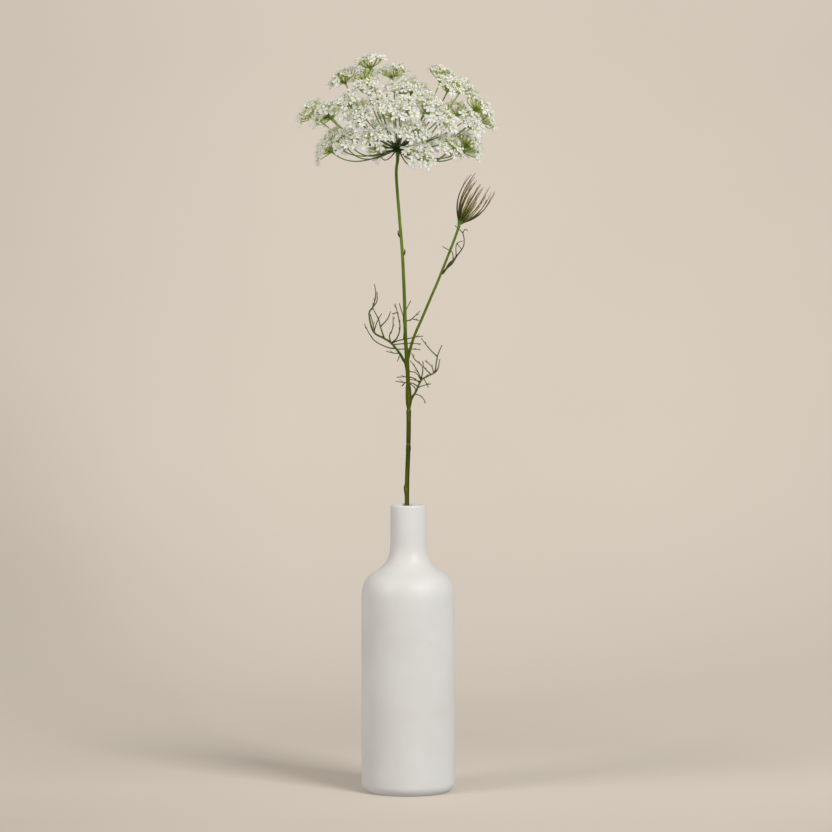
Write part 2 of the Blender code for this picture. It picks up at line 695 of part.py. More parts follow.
def closed_umbel(parts):
    """The small umbel on the side stem, curled shut like a basket."""
    olive = principled("closed_olive", (0.16, 0.14, 0.03), 0.6)
    mesh = bpy.data.meshes.new("closed_umbel")
    knob = bmesh.new()
    bmesh.ops.create_uvsphere(knob, u_segments=8, v_segments=6, radius=BASKET_KNOB)
    bmesh.ops.transform(knob, matrix=Matrix.Translation(BASKET_BASE), verts=knob.verts)
    knob.to_mesh(mesh)
    knob.free()
    base = link("closed_umbel", mesh, parts, olive)
    basket = new_collection("basket")
    for ring, (count, width, length) in enumerate(BASKET_RINGS):
        for k in range(count):
            spin = math.tau * (k + 0.37 * ring) / count
            reach = length * (1 - BASKET_LEAN * math.cos(spin)) * (1 + 0.04 * math.sin(k * 2.4 + ring))
            line = basket_line(spin, width, reach, BASKET_PIECES)
            shares = [j / BASKET_PIECES for j in range(BASKET_PIECES + 1)]
            radii = [BASKET_BRACT + (BASKET_TIP - BASKET_BRACT) * share for share in shares]
            tube(f"curl_{ring}_{k}", line, radii, basket, olive)
    fuse(base, basket, parts)
    shade(base)
    return base


def main():
    clear_scene()
    parts = new_collection(COLLECTION)
    cutters = new_collection("cutters", hidden=True)
    vase(parts)
    water(parts, cutters)
    stem(parts)
    leaf("upper_leaf", UPPER_LEAF_ROOT, UPPER_LEAF, (0.07, 0.14, 0.04), parts)
    leaf("lower_leaf", LOWER_LEAF_ROOT, LOWER_LEAF, (0.08, 0.15, 0.05), parts)
    leaf("side_leaf", SIDE_LEAF_ROOT, SIDE_LEAF, (0.12, 0.17, 0.06), parts, SHEATH)
    umbel_rays(parts)
    white = principled("floret_white", (0.80, 0.83, 0.74), 0.6)
    for number, ray in enumerate(RAYS):
        umbellet(number, ray, white, parts)
    closed_umbel(parts)


main()
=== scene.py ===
"""Looks for a cut stem of wild carrot, with one open umbel and one closed, in a white bottle vase.

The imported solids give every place. Lengths in the tables are millimetres and the scene is in metres:
+Z up, +X to the right of the front view, +Y away from the viewer.
"""

import math
from collections import namedtuple

import bpy
import numpy as np
from mathutils import Matrix


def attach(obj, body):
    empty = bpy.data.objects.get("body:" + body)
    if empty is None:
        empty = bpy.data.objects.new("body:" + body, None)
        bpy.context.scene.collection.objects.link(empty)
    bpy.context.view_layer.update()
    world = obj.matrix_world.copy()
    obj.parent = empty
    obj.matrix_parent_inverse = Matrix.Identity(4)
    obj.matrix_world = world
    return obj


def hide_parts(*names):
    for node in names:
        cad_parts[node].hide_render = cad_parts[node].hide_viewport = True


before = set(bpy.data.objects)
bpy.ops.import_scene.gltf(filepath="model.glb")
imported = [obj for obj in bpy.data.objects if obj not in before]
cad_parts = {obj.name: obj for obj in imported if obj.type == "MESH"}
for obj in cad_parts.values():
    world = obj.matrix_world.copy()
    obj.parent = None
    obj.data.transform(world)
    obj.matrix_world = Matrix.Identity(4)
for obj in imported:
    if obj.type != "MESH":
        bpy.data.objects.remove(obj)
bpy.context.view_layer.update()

MM = 0.001
SEED = 41
GOLDEN_TURN = math.pi * (3 - math.sqrt(5))
UP = np.array((0.0, 0.0, 1.0))

# Camera
CAMERA_PLACE = (0.0061, -2.728, 0.4184)
CAMERA_PITCH = 2.685  # degrees below level
CAMERA_LENS = 153.2  # mm
CAMERA_SENSOR = 36  # mm

# Light and backdrop, in metres and watts
Lamp = namedtuple("Lamp", "name place size power colour")
LAMPS = (
    Lamp("key", (1.35, -1.65, 1.55), 0.9, 44.0, (1.0, 1.0, 0.995)),
    Lamp("fill", (-1.9, -1.3, 1.3), 1.0, 18.0, (1.0, 0.96, 0.92)),
)
LAMPS_AIM = (0, 0, 0.25)
SKY_COLOUR = (1.0, 0.95, 0.90, 1)
SKY_STRENGTH = 0.49
SWEEP_FLAT = 0.30  # radius of its level floor
SWEEP_BEND = 0.62  # radius of the curve between floor and wall
SWEEP_TOP = 2.6
SWEEP_WIDTH = (-0.4, 0.4)  # from left to right, for the stops of the painted side shade below
# Painted shade: factors that darken the sweep's colour towards its left
SWEEP_SIDE_SHADE = ((0.0, 0.905), (0.35, 0.99), (0.6, 1.0), (1.0, 0.985))
SWEEP_DEPTH = (-0.4, 0.8)  # from front to back, for the stops of the painted shade bands below
# Painted shade: factors that darken the sweep's colour at the front and in a band along its bend
SWEEP_SHADE_BANDS = ((0.0, 0.86), (0.2, 0.9), (0.34, 0.99), (0.54, 0.94), (0.68, 0.91), (0.8, 0.96), (0.95, 1.0))

# Vase
VASE_HEIGHT = 222
BODY_RADIUS = 36.1
NECK_RADIUS = 13.75
SHOULDER_LOW = 149.5
SHOULDER_HIGH = 193
SHOULDER_PULL_LOW = 28.5
SHOULDER_PULL_HIGH = 30
BASE_ROUND = 7
WALL = 3
FLOOR = 4
INNER_ROUND = 5
FOOT_HOLLOW = (25, 0.9)  # radius and depth of the hollow inside the foot
VASE_SIDES = 128

# Main stem
STEM_LINE = (
    (2.0, -15.0, 4.5),
    (0.5, -4.2, 100.0),
    (-0.8, 5.9, 190.0),
    (-1.0, 7.9, 214.0),
    (-0.8, 10.2, 240.0),
    (0.1, 13.0, 266.0),
    (0.4, 15.0, 290.0),
    (0.2, 16.2, 308.0),
    (-0.9, 18.0, 333.0),
    (-2.1, 19.0, 351.0),
    (-2.8, 20.4, 378.0),
    (-4.4, 22.0, 414.0),
    (-6.9, 23.0, 445.0),
    (-9.2, 23.8, 476.0),
    (-8.2, 24.0, 488.0),
    (-8.0, 24.0, 494.2),
)
STEM_GIRTH = (  # height, radius
    (0, 1.72),
    (259.5, 1.72),
    (260.8, 1.64),
    (261.8, 1.76),
    (266.6, 1.80),
    (267.6, 1.60),
    (268.8, 1.70),
    (288, 1.74),
    (292.2, 1.84),
    (293.6, 2.00),
    (294.2, 1.92),
    (294.9, 1.40),
    (296.0, 1.52),
    (299.5, 2.22),
    (305, 2.34),
    (310.8, 2.10),
    (311.8, 2.16),
    (312.8, 1.74),
    (316, 1.58),
    (324, 1.54),
    (333, 1.68),
    (345, 1.40),
    (420, 1.18),
    (484, 1.12),
    (490, 1.30),
    (495, 1.75),
)
STEM_RIBS = 11
Bulge = namedtuple("Bulge", "height below above facing size")
STEM_BULGES = (  # heights, how far each fades below and above, side in degrees, how far it stands out
    Bulge(234.8, 8.0, 3.4, 180, 0.85),
    Bulge(265.0, 3.6, 2.0, 0, 0.22),
    Bulge(331.5, 7.0, 3.0, 175, 0.75),
    Bulge(303.0, 5.0, 2.5, 10, 0.45),
)
LEAF_STUBS = (  # height, side in degrees, length
    (431.0, 180, 4.2),
    (416.5, 0, 4.4),
)
SIDE_LINE = (
    (-0.9, 18.0, 331.0),
    (0.2, 18.2, 336.0),
    (2.6, 18.5, 345.0),
    (5.7, 18.7, 354.0),
    (10.8, 18.6, 365.5),
    (18.0, 18.2, 382.5),
    (23.0, 17.9, 394.0),
    (32.7, 17.2, 418.5),
    (37.1, 16.8, 430.0),
    (39.5, 16.5, 437.27),
)
SIDE_RADIUS = 1.0
SIDE_RIBS = 8
BULGE_SPOT = (-1.5, 7.7, 233.3)  # a pale scar on the lowest bulge

# Open umbel
HUB = np.array((-8.0, 24.0, 497.0))
HUB_RADIUS = 3.4
HUB_HEIGHT = 2.4
RAY_RADIUS = 0.54
RAY_ARCH = 20  # degrees by which a low ray leaves the hub below the line to its tip
RAY_REACH = 0.38  # length of its curve's handles, as a share of its own
Ray = namedtuple("Ray", "turn rise length")  # degrees from +X, degrees above level, mm
RAYS = (
    # lowest tier, some of it drooping
    Ray(-157, 2, 51),
    Ray(-133, 2, 53),
    Ray(-71, -10, 49),
    Ray(-45, -5, 53),
    Ray(-14, 0, 53),
    Ray(19, -3, 52),
    Ray(47, 0, 58),
    Ray(76, 2, 60),
    Ray(105, 0, 60),
    Ray(134, 2, 58),
    Ray(164, -3, 53),
    # middle tier
    Ray(174, 21, 69),
    Ray(-158, 22, 61),
    Ray(-136, 32, 58),
    Ray(-108, 5, 50),
    Ray(-77, 9, 50),
    Ray(-56, 17, 58),
    Ray(-31, 14, 63),
    Ray(-11, 25, 66),
    Ray(15, 18, 68),
    Ray(39, 24, 64),
    Ray(66, 27, 62),
    Ray(94, 24, 62),
    Ray(122, 26, 62),
    Ray(149, 22, 64),
    # upper tier
    Ray(179, 51, 64),
    Ray(-120, 18, 57),
    Ray(-84, 24, 58),
    Ray(-104, 30, 56),
    Ray(-64, 31, 56),
    Ray(-125, 46, 56),
    Ray(-84, 50, 52),
    Ray(-36, 42, 63),
    Ray(4, 42, 64),
    Ray(20, 56, 62),
    Ray(87, 53, 56),
    Ray(130, 54, 64),
    # crown
    Ray(-148, 68, 65),
    Ray(-48, 70, 44),
    Ray(110, 80, 54),
)
INVOLUCRE = 9
BRACT_LENGTH = 21
BRACT_DROOP = 17
BRACT_RADIUS = 0.33

# Umbellets
HEAD_LIFT = 0.5  # how much an umbellet turns up from its ray's direction
HEAD_LIFT_LOW = 0.4  # the same, added for a level or drooping ray
HEAD_LIFT_RISE = 12  # degrees above level at which nothing is added any more
HEAD_CENTRE = 8
FLORETS = 21
FLORET_TILT = 62  # degrees from the umbellet's axis to its outermost florets
PEDICEL_LENGTH = 12.8
PEDICEL_RADIUS = 0.35
PETALS = 5
PETAL_SHORT = 3.3
PETAL_LONG = 7.0
FLORET_DEPTH = 2.3
CELL_OVERLAP = 1.2  # how far florets may reach past the plane half way to the next umbellet
BUD_SHARE = 0.12  # of the florets, those still shut
PETAL_WIDTHS = (0.60, 0.86)  # as shares of a petal's length
PETAL_NOTCHES = (0.10, 0.36)
BRACTEOLES = 6

# Closed umbel
BASKET_BASE = np.array((40.2, 16.5, 439.6))
BASKET_TILT = 31
BASKET_LEAN = 0.1  # how much shorter its rays are on the side that it tilts to
BASKET_CURVE = ((0, 0.8), (6, 7.0), (16, 15.5), (36.5, 11.7))  # Bezier: along the axis, away from it
BASKET_RINGS = ((10, 1.0, 1.0), (6, 0.76, 0.86), (6, 0.5, 0.66), (6, 0.2, 0.54))  # count, width, length
BASKET_BRACT = 0.6  # radius of a ray at its foot
BASKET_FORKS = (0.66, 0.82)  # where hairs leave a ray, as shares of its length

# Leaves
Strand = namedtuple("Strand", "radius points")
UPPER_LEAF_ROOT = np.array((-2.0, 18.0, 332.0))
UPPER_LEAF = (
    Strand(
        0.85,
        (
            (-1.9, 0, 1.4), (-4.5, 0.5, 6), (-11, 1.5, 14), (-17, 0.5, 18), (-24, -2, 22),
            (-27, -4.5, 29), (-28, -6, 38), (-25, -7, 43), (-23, -6, 52), (-24, -4, 60),
        ),
    ),
    Strand(0.45, ((-8, 1, 10), (-13, 3.5, 10.5), (-23, 7, 15), (-28, 8, 21), (-32, 7, 29))),
    Strand(0.50, ((-16.5, 0.6, 17.7), (-19.5, -4, 27), (-21, -7, 33), (-25, -12, 41))),
    Strand(0.45, ((-19.5, -4, 27), (-14, -8, 33), (-11.5, -9, 39))),
    Strand(0.42, ((-24.5, -2.2, 23), (-22, 2, 31), (-18.5, 5, 37))),
    Strand(0.50, ((-11, 1.5, 14), (-6.5, -2, 18.5), (-4.5, -4, 25), (-4.8, -4.5, 31), (-8, -5, 45))),
    Strand(0.35, ((-6.7, -4.8, 38), (-10.5, -6.5, 37))),
    Strand(0.45, ((-11.5, 1.5, 14.3), (-12.5, -2, 20), (-10, -6.5, 26), (-9.5, -9, 35))),
    Strand(0.48, ((-11, 1.5, 14), (-6, 6, 16), (-1, 7.2, 17), (9, 7.5, 19), (13.5, 7, 19.5))),
    Strand(0.40, ((-10, 1.3, 13), (-4, 5, 13.5), (3, 5.8, 14), (12, 5.2, 13.5))),
    Strand(0.38, ((-7, 0.9, 9.3), (-3, 4.3, 9.5), (5, 5.4, 9.5), (11.5, 4.8, 9))),
    Strand(0.45, ((-1.5, 7, 17), (-1, 7.6, 24), (0.5, 7.5, 30.5), (5, 7, 33), (11, 6, 39))),
    Strand(0.35, ((5, 7, 33), (10.5, 8.5, 31.5))),
    Strand(0.40, ((-1, 7.6, 25), (-1.8, 6.6, 33), (-0.5, 6, 38), (4, 5.5, 47))),
    Strand(0.35, ((-1.6, 6.5, 34.5), (-5, 5.5, 45))),
    Strand(0.38, ((-4.7, 0.6, 6.2), (-9, -1.5, 6.5), (-15, -3, 8))),
    Strand(0.35, ((-4, 0.4, 5.3), (-5.3, -1.5, 3), (-6.3, -2.5, 0))),
    Strand(0.45, ((-24, -2, 22), (-25.0, -0.5, 28), (-27.2, -3, 36.5))),
    Strand(0.45, ((-26.5, -6.6, 40.5), (-22.3, -8, 46.5), (-22, -7, 54))),
)
LOWER_LEAF_ROOT = np.array((2.1, 16.0, 303.5))
LOWER_LEAF = (
    Strand(
        0.80,
        ((1.6, 0, 1.8), (3.7, 0, 5), (8, -0.5, 14), (12.5, -2, 17), (20, -4, 21.5), (22.5, -5, 30.5)),
    ),
    Strand(0.48, ((18.5, -3.7, 20.6), (20.5, -6.5, 32.5), (24, -7.5, 41.5))),
    Strand(0.42, ((20.5, -6.5, 32.5), (14, -8.5, 39), (8, -9.5, 47))),
    Strand(0.42, ((15.5, -2.8, 18.8), (10, -6.5, 24.5), (9.5, -8.5, 28.5))),
    Strand(0.38, ((17.5, -3.3, 20), (16, 1, 25), (11, 3.5, 29))),
    Strand(0.45, ((8, -0.5, 14), (9, 2.5, 24), (3, 6.5, 30), (0.5, 7.5, 35))),
    Strand(0.42, ((8.5, -0.6, 14.4), (4.5, -5, 22.5), (-0.5, -6, 29.5))),
    Strand(0.40, ((8, -0.5, 14), (4, 4, 19.5), (-1.5, 6, 20.5), (-4, 6.2, 20.5))),
    Strand(0.40, ((7, -0.4, 12), (2, 4.2, 15.5), (-3, 6, 16.5), (-11, 7, 16))),
    Strand(0.38, ((7.6, -0.5, 13), (4, -4, 14), (-1, -6, 15))),
    Strand(0.42, ((5.6, -0.2, 9), (1.5, 4.3, 11.3), (-5, 5.8, 12), (-12, 5.5, 13))),
    Strand(0.35, ((-4.5, 5.8, 12), (-7, 4.8, 9.5))),
    Strand(0.38, ((3.8, 0, 5.2), (3, -3, 8.3), (-1.5, -5.5, 12.2))),
    Strand(0.38, ((2.8, 0, 3.5), (8, 1.5, 1.5), (11.5, 2.5, -3.3))),
    Strand(0.40, ((5.2, -0.2, 8), (9.5, -3.5, 10), (15.5, -6, 11.4))),
    Strand(0.35, ((10, -1.2, 15.3), (12, -3.5, 11.5), (13.5, -4.5, 8.5))),
)
SIDE_LEAF_ROOT = np.array((26.4, 17.8, 401.4))
SIDE_LEAF = (
    Strand(0.80, ((1.9, 0, 1.0), (4.8, 0, 4.8), (8.9, 0, 9.2), (10.6, 0, 11.7))),
    Strand(
        0.46,
        ((10.2, 0, 11), (15.9, 0, 18.8), (17, 1.2, 24.6), (15.9, 2.6, 30), (13.2, 3.6, 33), (10, 4, 35.8)),
    ),
    Strand(0.38, ((10.6, 0, 12), (10.6, -2.6, 18.8), (11.6, -3.5, 22.3), (15.9, -4.5, 24))),
    Strand(0.35, ((11.5, -3.4, 22), (14.8, -4.5, 17.6))),
    Strand(0.35, ((15.9, 2.5, 30), (17.5, 2, 32.8), (19.7, 1.5, 32))),
    Strand(0.38, ((8.5, 0, 9), (7.6, -3.2, 15.5), (3.5, -3.6, 17.8), (0.4, -3.2, 19.6))),
)
SHEATH = (np.array((6.4, 0, 6.6)), 1.5, 4.4)  # middle, radius, half length of its swelling
THREAD_TIP = 0.3  # a thread's radius at its end
SHEATH_TONE = 0.2  # how far the sheath gets from a thread's first colour to its last
LOBE_STEP = 5.5  # between the short side points of a thread
LOBE_LENGTHS = (1.6, 3.4)


# Geometry helpers


def unit(vector):
    vector = np.asarray(vector, float)
    return vector / np.linalg.norm(vector)


def direction(turn, rise):
    """Unit vector, from degrees round +Z and degrees above level."""
    turn, rise = math.radians(turn), math.radians(rise)
    return np.array((math.cos(rise) * math.cos(turn), math.cos(rise) * math.sin(turn), math.sin(rise)))


def swung(first, second, turn):
    """A direction turned by an angle in radians from one unit vector towards another."""
    return first * math.cos(turn) + second * math.sin(turn)


def bezier(controls, count):
    """Points along a cubic Bezier with four control points."""
    a, b, c, d = (np.asarray(p, float) for p in controls)
    share = np.linspace(0, 1, count)[:, None]
    rest = 1 - share
    return a * rest**3 + b * 3 * rest**2 * share + c * 3 * rest * share**2 + d * share**3


def smooth_line(points, step):
    """Points of a Catmull-Rom curve through the given points, about a step apart."""
    points = np.asarray(points, float)
    ends = np.vstack([2 * points[0] - points[1], points, 2 * points[-1] - points[-2]])
    line = []
    for before, a, b, after in zip(ends, ends[1:], ends[2:], ends[3:]):
        pieces = max(1, round(np.linalg.norm(b - a) / step))
        for k in range(pieces):
            t = k / pieces
            bend = (before * 2 - a * 5 + b * 4 - after) * (t**2 / 2)
            twist = (a * 3 - before - b * 3 + after) * (t**3 / 2)
            line.append(a + (b - before) * (t / 2) + bend + twist)
    return np.array(line + [points[-1]])


def nearest_on(lines, place):
    """The point closest to a place on any of the lines."""
    best, found = None, None
    for line in lines:
        run = line[1:] - line[:-1]
        share = np.einsum("ij,ij->i", place - line[:-1], run) / np.einsum("ij,ij->i", run, run)
        spots = line[:-1] + run * np.clip(share, 0, 1)[:, None]
        gaps = np.linalg.norm(spots - place, axis=1)
        if best is None or gaps.min() < best:
            best, found = gaps.min(), spots[gaps.argmin()]
    return found


def steady_frames(line, facing):
    """Along a line: the way it runs, and two directions across it that follow its bends without a twist."""
    runs = np.gradient(line, axis=0)
    runs /= np.linalg.norm(runs, axis=1, keepdims=True)
    across = np.asarray(facing, float)
    if abs(unit(across) @ runs[0]) > 0.95:
        across = np.array((across[1], across[2], across[0]))
    sides = []
    for run in runs:
        across = unit(across - run * (across @ run))
        sides.append(across)
    sides = np.array(sides)
    return runs, sides, np.cross(runs, sides)


Shape = namedtuple("Shape", "points faces along side")


def skinned(rings, turns):
    """Faces, along and side of equal rings of points, closed by one more point at each end."""
    sides = len(turns)
    last, start, end = (rings - 1) * sides, rings * sides, rings * sides + 1
    faces = []
    for j in range(sides):
        beside = (j + 1) % sides
        faces.append((start, beside, j))
        faces.append((end, last + j, last + beside))
        for low in range(0, last, sides):
            high = low + sides
            faces.append((low + j, low + beside, high + beside, high + j))
    along = np.append(np.repeat(np.linspace(0, 1, rings), sides), (0, 1))
    side = np.append(np.tile(0.5 + 0.5 * np.cos(turns), rings), (0.5, 0.5))
    return faces, along, side


def tube(line, radii, sides, ribs=0, depth=0.0, facing=(1, 0, 0), flat=1.0):
    """A closed tube along a line, with ribs if asked for. side is 1 on the facing side and 0 behind it."""
    runs, across, aside = steady_frames(line, facing)
    radii = np.broadcast_to(radii, len(line)).astype(float)
    turns = np.arange(sides) * math.tau / sides
    swell = radii[:, None] * (1 + depth * np.cos(ribs * turns))[None, :]
    wide, deep = np.cos(turns)[None, :, None], flat * np.sin(turns)[None, :, None]
    ring = wide * across[:, None] + deep * aside[:, None]
    points = (line[:, None] + swell[:, :, None] * ring).reshape(-1, 3)
    caps = np.array([line[0] - runs[0] * radii[0] * 0.5, line[-1] + runs[-1] * radii[-1] * 0.9])
    return Shape(np.vstack([points, caps]), *skinned(len(line), turns))


def turned(profile, sides):
    """A solid of revolution about Z, from (radius, height) points that start and end on the axis."""
    rings = np.array(profile[1:-1], float)
    turns = np.arange(sides) * math.tau / sides
    circle = np.stack([np.cos(turns), np.sin(turns)], axis=1)
    points = np.zeros((len(rings), sides, 3))
    points[:, :, :2] = rings[:, None, :1] * circle[None]
    points[:, :, 2] = rings[:, 1:2]
    ends = np.array([(0, 0, profile[0][1]), (0, 0, profile[-1][1])])
    faces, along, side = skinned(len(rings), turns)
    facing_out = [(face[0], *face[:0:-1]) for face in faces]
    return Shape(np.vstack([points.reshape(-1, 3), ends]), facing_out, along, side)


def heart(share):
    """Half width of a petal, from its claw to its broad end."""
    return np.sin(math.pi * (0.07 + 0.60 * share**1.1))


def lance(share):
    """Half width of a narrow pointed bract."""
    return np.sin(math.pi * (0.30 + 0.67 * share))


def blade(length, width, outline, notch=0.0, lift=(0.1, 0.1), fold=0.1, rows=5, columns=4, thick=0.14):
    """A thin petal or bract along +X with its upper face to +Z. Both faces meet at its rim."""
    share = np.linspace(0, 1, rows + 1)[:, None]
    across = np.linspace(-1, 1, columns + 1)[None, :]
    half = width / 2 * outline(share)
    reach = share - notch * share**3 * (1 - abs(across)) ** 1.4 - 0.18 * share**2 * across**4 * (notch > 0)
    rise = length * (lift[0] * share + lift[1] * share**2) + fold * half * abs(across) ** 1.5
    top = np.stack(np.broadcast_arrays(length * reach, half * across, rise), axis=2)
    under = top[1:-1, 1:-1] - (0, 0, thick)
    base = (rows + 1) * (columns + 1)

    def above(i, j):
        return i * (columns + 1) + j

    def below(i, j):
        if i in (0, rows) or j in (0, columns):
            return above(i, j)
        return base + (i - 1) * (columns - 1) + j - 1

    faces = []
    for i in range(rows):
        for j in range(columns):
            corners = (i, j), (i + 1, j), (i + 1, j + 1), (i, j + 1)
            faces.append(tuple(above(*c) for c in corners))
            faces.append(tuple(below(*c) for c in reversed(corners)))
    along = np.broadcast_to(share, (rows + 1, columns + 1))
    side = np.broadcast_to(abs(across), (rows + 1, columns + 1))
    return Shape(
        np.vstack([top.reshape(-1, 3), under.reshape(-1, 3)]),
        faces,
        np.append(along.ravel(), along[1:-1, 1:-1].ravel()),
        np.append(side.ravel(), side[1:-1, 1:-1].ravel()),
    )


def placed(shape, place, axes):
    """A shape moved to a place, with its own X, Y and Z along three given axes."""
    return shape._replace(points=shape.points @ np.array(axes) + place)


def shown(name, data):
    """A new object in the scene."""
    obj = bpy.data.objects.new(name, data)
    bpy.context.scene.collection.objects.link(obj)
    return obj


class Growth:
    """Gathers shapes into one mesh. Each point gets a tone: how far along it is, a chance, a side."""

    def __init__(self, *materials):
        self.materials = materials
        self.points, self.tones, self.faces, self.slots = [], [], [], []
        self.count = 0

    def add(self, shape, slot=0, chance=0.5):
        size = len(shape.points)
        self.points.append(shape.points)
        self.tones.append(np.column_stack([shape.along, np.full(size, chance), shape.side, np.ones(size)]))
        self.faces.extend(tuple(corner + self.count for corner in face) for face in shape.faces)
        self.slots.extend([slot] * len(shape.faces))
        self.count += size

    def piece(self, name, stands_for, angle=50):
        """Makes the object, which rides on the part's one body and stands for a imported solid."""
        mesh = bpy.data.meshes.new(name)
        mesh.from_pydata((np.vstack(self.points) * MM).tolist(), [], self.faces)
        for material in self.materials:
            mesh.materials.append(material)
        mesh.polygons.foreach_set("material_index", self.slots)
        tone = mesh.attributes.new("tone", "FLOAT_COLOR", "POINT")
        tone.data.foreach_set("color", np.vstack(self.tones).astype(np.float32).ravel())
        mesh.shade_smooth()
        mesh.set_sharp_from_angle(angle=math.radians(angle))
        obj = shown(name, mesh)
        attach(obj, "root")
        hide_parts(stands_for)


# Material helpers


def srgb(red, green, blue):
    """A colour given as 0 to 255 on screen, as the linear values that nodes take."""
    shares = (red / 255, green / 255, blue / 255)
    linear = [s / 12.92 if s < 0.04 else ((s + 0.055) / 1.055) ** 2.4 for s in shares]
    return (*linear, 1)


def fed(tree, socket, value):
    """Gives an input its value, or a link from another node's output."""
    if isinstance(value, bpy.types.NodeSocket):
        tree.links.new(value, socket)
    else:
        socket.default_value = value


def node(tree, kind, values=None, **settings):
    """A new shader node. Values are numbers or sockets for its inputs."""
    made = tree.nodes.new("ShaderNode" + kind)
    for name, value in settings.items():
        setattr(made, name, value)
    for name, value in (values or {}).items():
        fed(tree, made.inputs[name], value)
    return made


def ramp(tree, factor, *stops):
    """A colour that follows a factor through (place, colour) stops.

    A stop's colour is three numbers from 0 to 255 on screen, or one linear grey.
    """
    made = node(tree, "ValToRGB", {"Fac": factor})
    elements = made.color_ramp.elements
    for k, (place, colour) in enumerate(stops):
        stop = elements[k] if k < 2 else elements.new(place)
        stop.position = place
        stop.color = srgb(*colour) if isinstance(colour, tuple) else (colour, colour, colour, 1)
    return made.outputs["Color"]


MIX_INPUTS = (0, 6, 7)  # where a colour mix takes its factor and its two colours
MIX_OUTPUT = 2


def mixed(tree, factor, first, second, blend="MIX"):
    """Two colours mixed by a factor. Each of the three is a value or a socket."""
    made = node(tree, "Mix", data_type="RGBA", blend_type=blend)
    for number, value in zip(MIX_INPUTS, (factor, first, second)):
        fed(tree, made.inputs[number], value)
    return made.outputs[MIX_OUTPUT]


def shaded(tree, colour, shade):
    """A colour multiplied by another."""
    return mixed(tree, 1.0, colour, shade, "MULTIPLY")


def maths(tree, operation, *values):
    made = node(tree, "Math", operation=operation)
    for socket, value in zip(made.inputs, values):
        fed(tree, socket, value)
    return made.outputs[0]


def span(tree, value, low, high):
    """How far a value is on the way from low to high, as a share."""
    return node(tree, "MapRange", {"Value": value, "From Min": low, "From Max": high}).outputs["Result"]


def tones(tree):
    """The sockets along, chance and side of a grown mesh."""
    read = node(tree, "Attribute", attribute_name="tone", attribute_type="GEOMETRY")
    split = node(tree, "SeparateColor", {"Color": read.outputs["Color"]})
    return split.outputs["Red"], split.outputs["Green"], split.outputs["Blue"]


def noise(tree, scale, detail=3, stretch=(1, 1, 1)):
    """A noise in the object's own space. Stretch is how dense it is along each axis."""
    where = node(tree, "TexCoord").outputs["Object"]
    dense = node(tree, "Mapping", {"Vector": where, "Scale": stretch})
    values = {"Vector": dense.outputs[0], "Scale": scale, "Detail": detail}
    return node(tree, "TexNoise", values).outputs["Fac"]


def finished(name, roughness, specular=0.5, subsurface=0.0):
    material = bpy.data.materials.new(name)
    material.use_nodes = True
    shader = material.node_tree.nodes["Principled BSDF"]
    shader.inputs["Roughness"].default_value = roughness
    shader.inputs["Specular IOR Level"].default_value = specular
    if subsurface:
        shader.inputs["Subsurface Weight"].default_value = subsurface
        shader.inputs["Subsurface Radius"].default_value = (0.9, 1.0, 0.7)
        shader.inputs["Subsurface Scale"].default_value = 1.2 * MM
    return material, material.node_tree, shader


def bumped(tree, shader, height, strength, distance):
    bump = node(tree, "Bump", {"Height": height, "Strength": strength, "Distance": distance * MM})
    tree.links.new(bump.outputs[0], shader.inputs["Normal"])


# Materials


def ceramic_finish():
    """Matt white stoneware: faint clouds, fine pores, an eggshell skin and slight turning rings."""
    material, tree, shader = finished("white_ceramic", 0.46, 0.45)
    clouds = ramp(tree, noise(tree, 22, 5), (0.36, (208, 207, 203)), (0.64, (214, 214, 211)))
    pores = ramp(tree, noise(tree, 620, 2), (0.70, 0.0), (0.76, 0.5))
    colour = mixed(tree, pores, clouds, srgb(190, 184, 174))
    tree.links.new(colour, shader.inputs["Base Color"])
    sheen = ramp(tree, noise(tree, 60, 4), (0.3, 0.40), (0.7, 0.54))
    tree.links.new(sheen, shader.inputs["Roughness"])
    rings = noise(tree, 260, 2, (0.02, 0.02, 1))
    skin = noise(tree, 480, 3)
    bumped(tree, shader, maths(tree, "ADD", skin, maths(tree, "MULTIPLY", rings, 0.5)), 0.12, 0.15)
    return material


def water_finish():
    material, tree, shader = finished("clear_water", 0.02)
    shader.inputs["IOR"].default_value = 1.333
    shader.inputs["Transmission Weight"].default_value = 1.0
    tint = ramp(tree, noise(tree, 40, 2), (0.3, (236, 244, 240)), (0.7, (246, 250, 248)))
    tree.links.new(tint, shader.inputs["Base Color"])
    return material


STEM_SPAN = (0.20, 0.50)  # heights in metres between which the stem's green changes
STEM_TONES = (  # height, and the green there: darkest below the joint, brightest near the umbel, where the stem's own green is also lightened as painted light against the umbel's shade
    (0.235, (80, 90, 8)),
    (0.26, (60, 68, 5)),
    (0.275, (65, 75, 5)),
    (0.29, (80, 88, 12)),
    (0.335, (70, 82, 12)),
    (0.36, (86, 106, 25)),
    # painted light: these top greens are lightened to lift the shade that the umbel casts on the stem
    (0.46, (104, 130, 42)),
    (0.50, (92, 122, 46)),
)
STEM_RINGS = (0.2682, 0.2942)  # heights of two thin pale rings
RING_GREEN = (104, 110, 38)
RING_REACH = 0.0011  # from a ring's middle to where it fades out


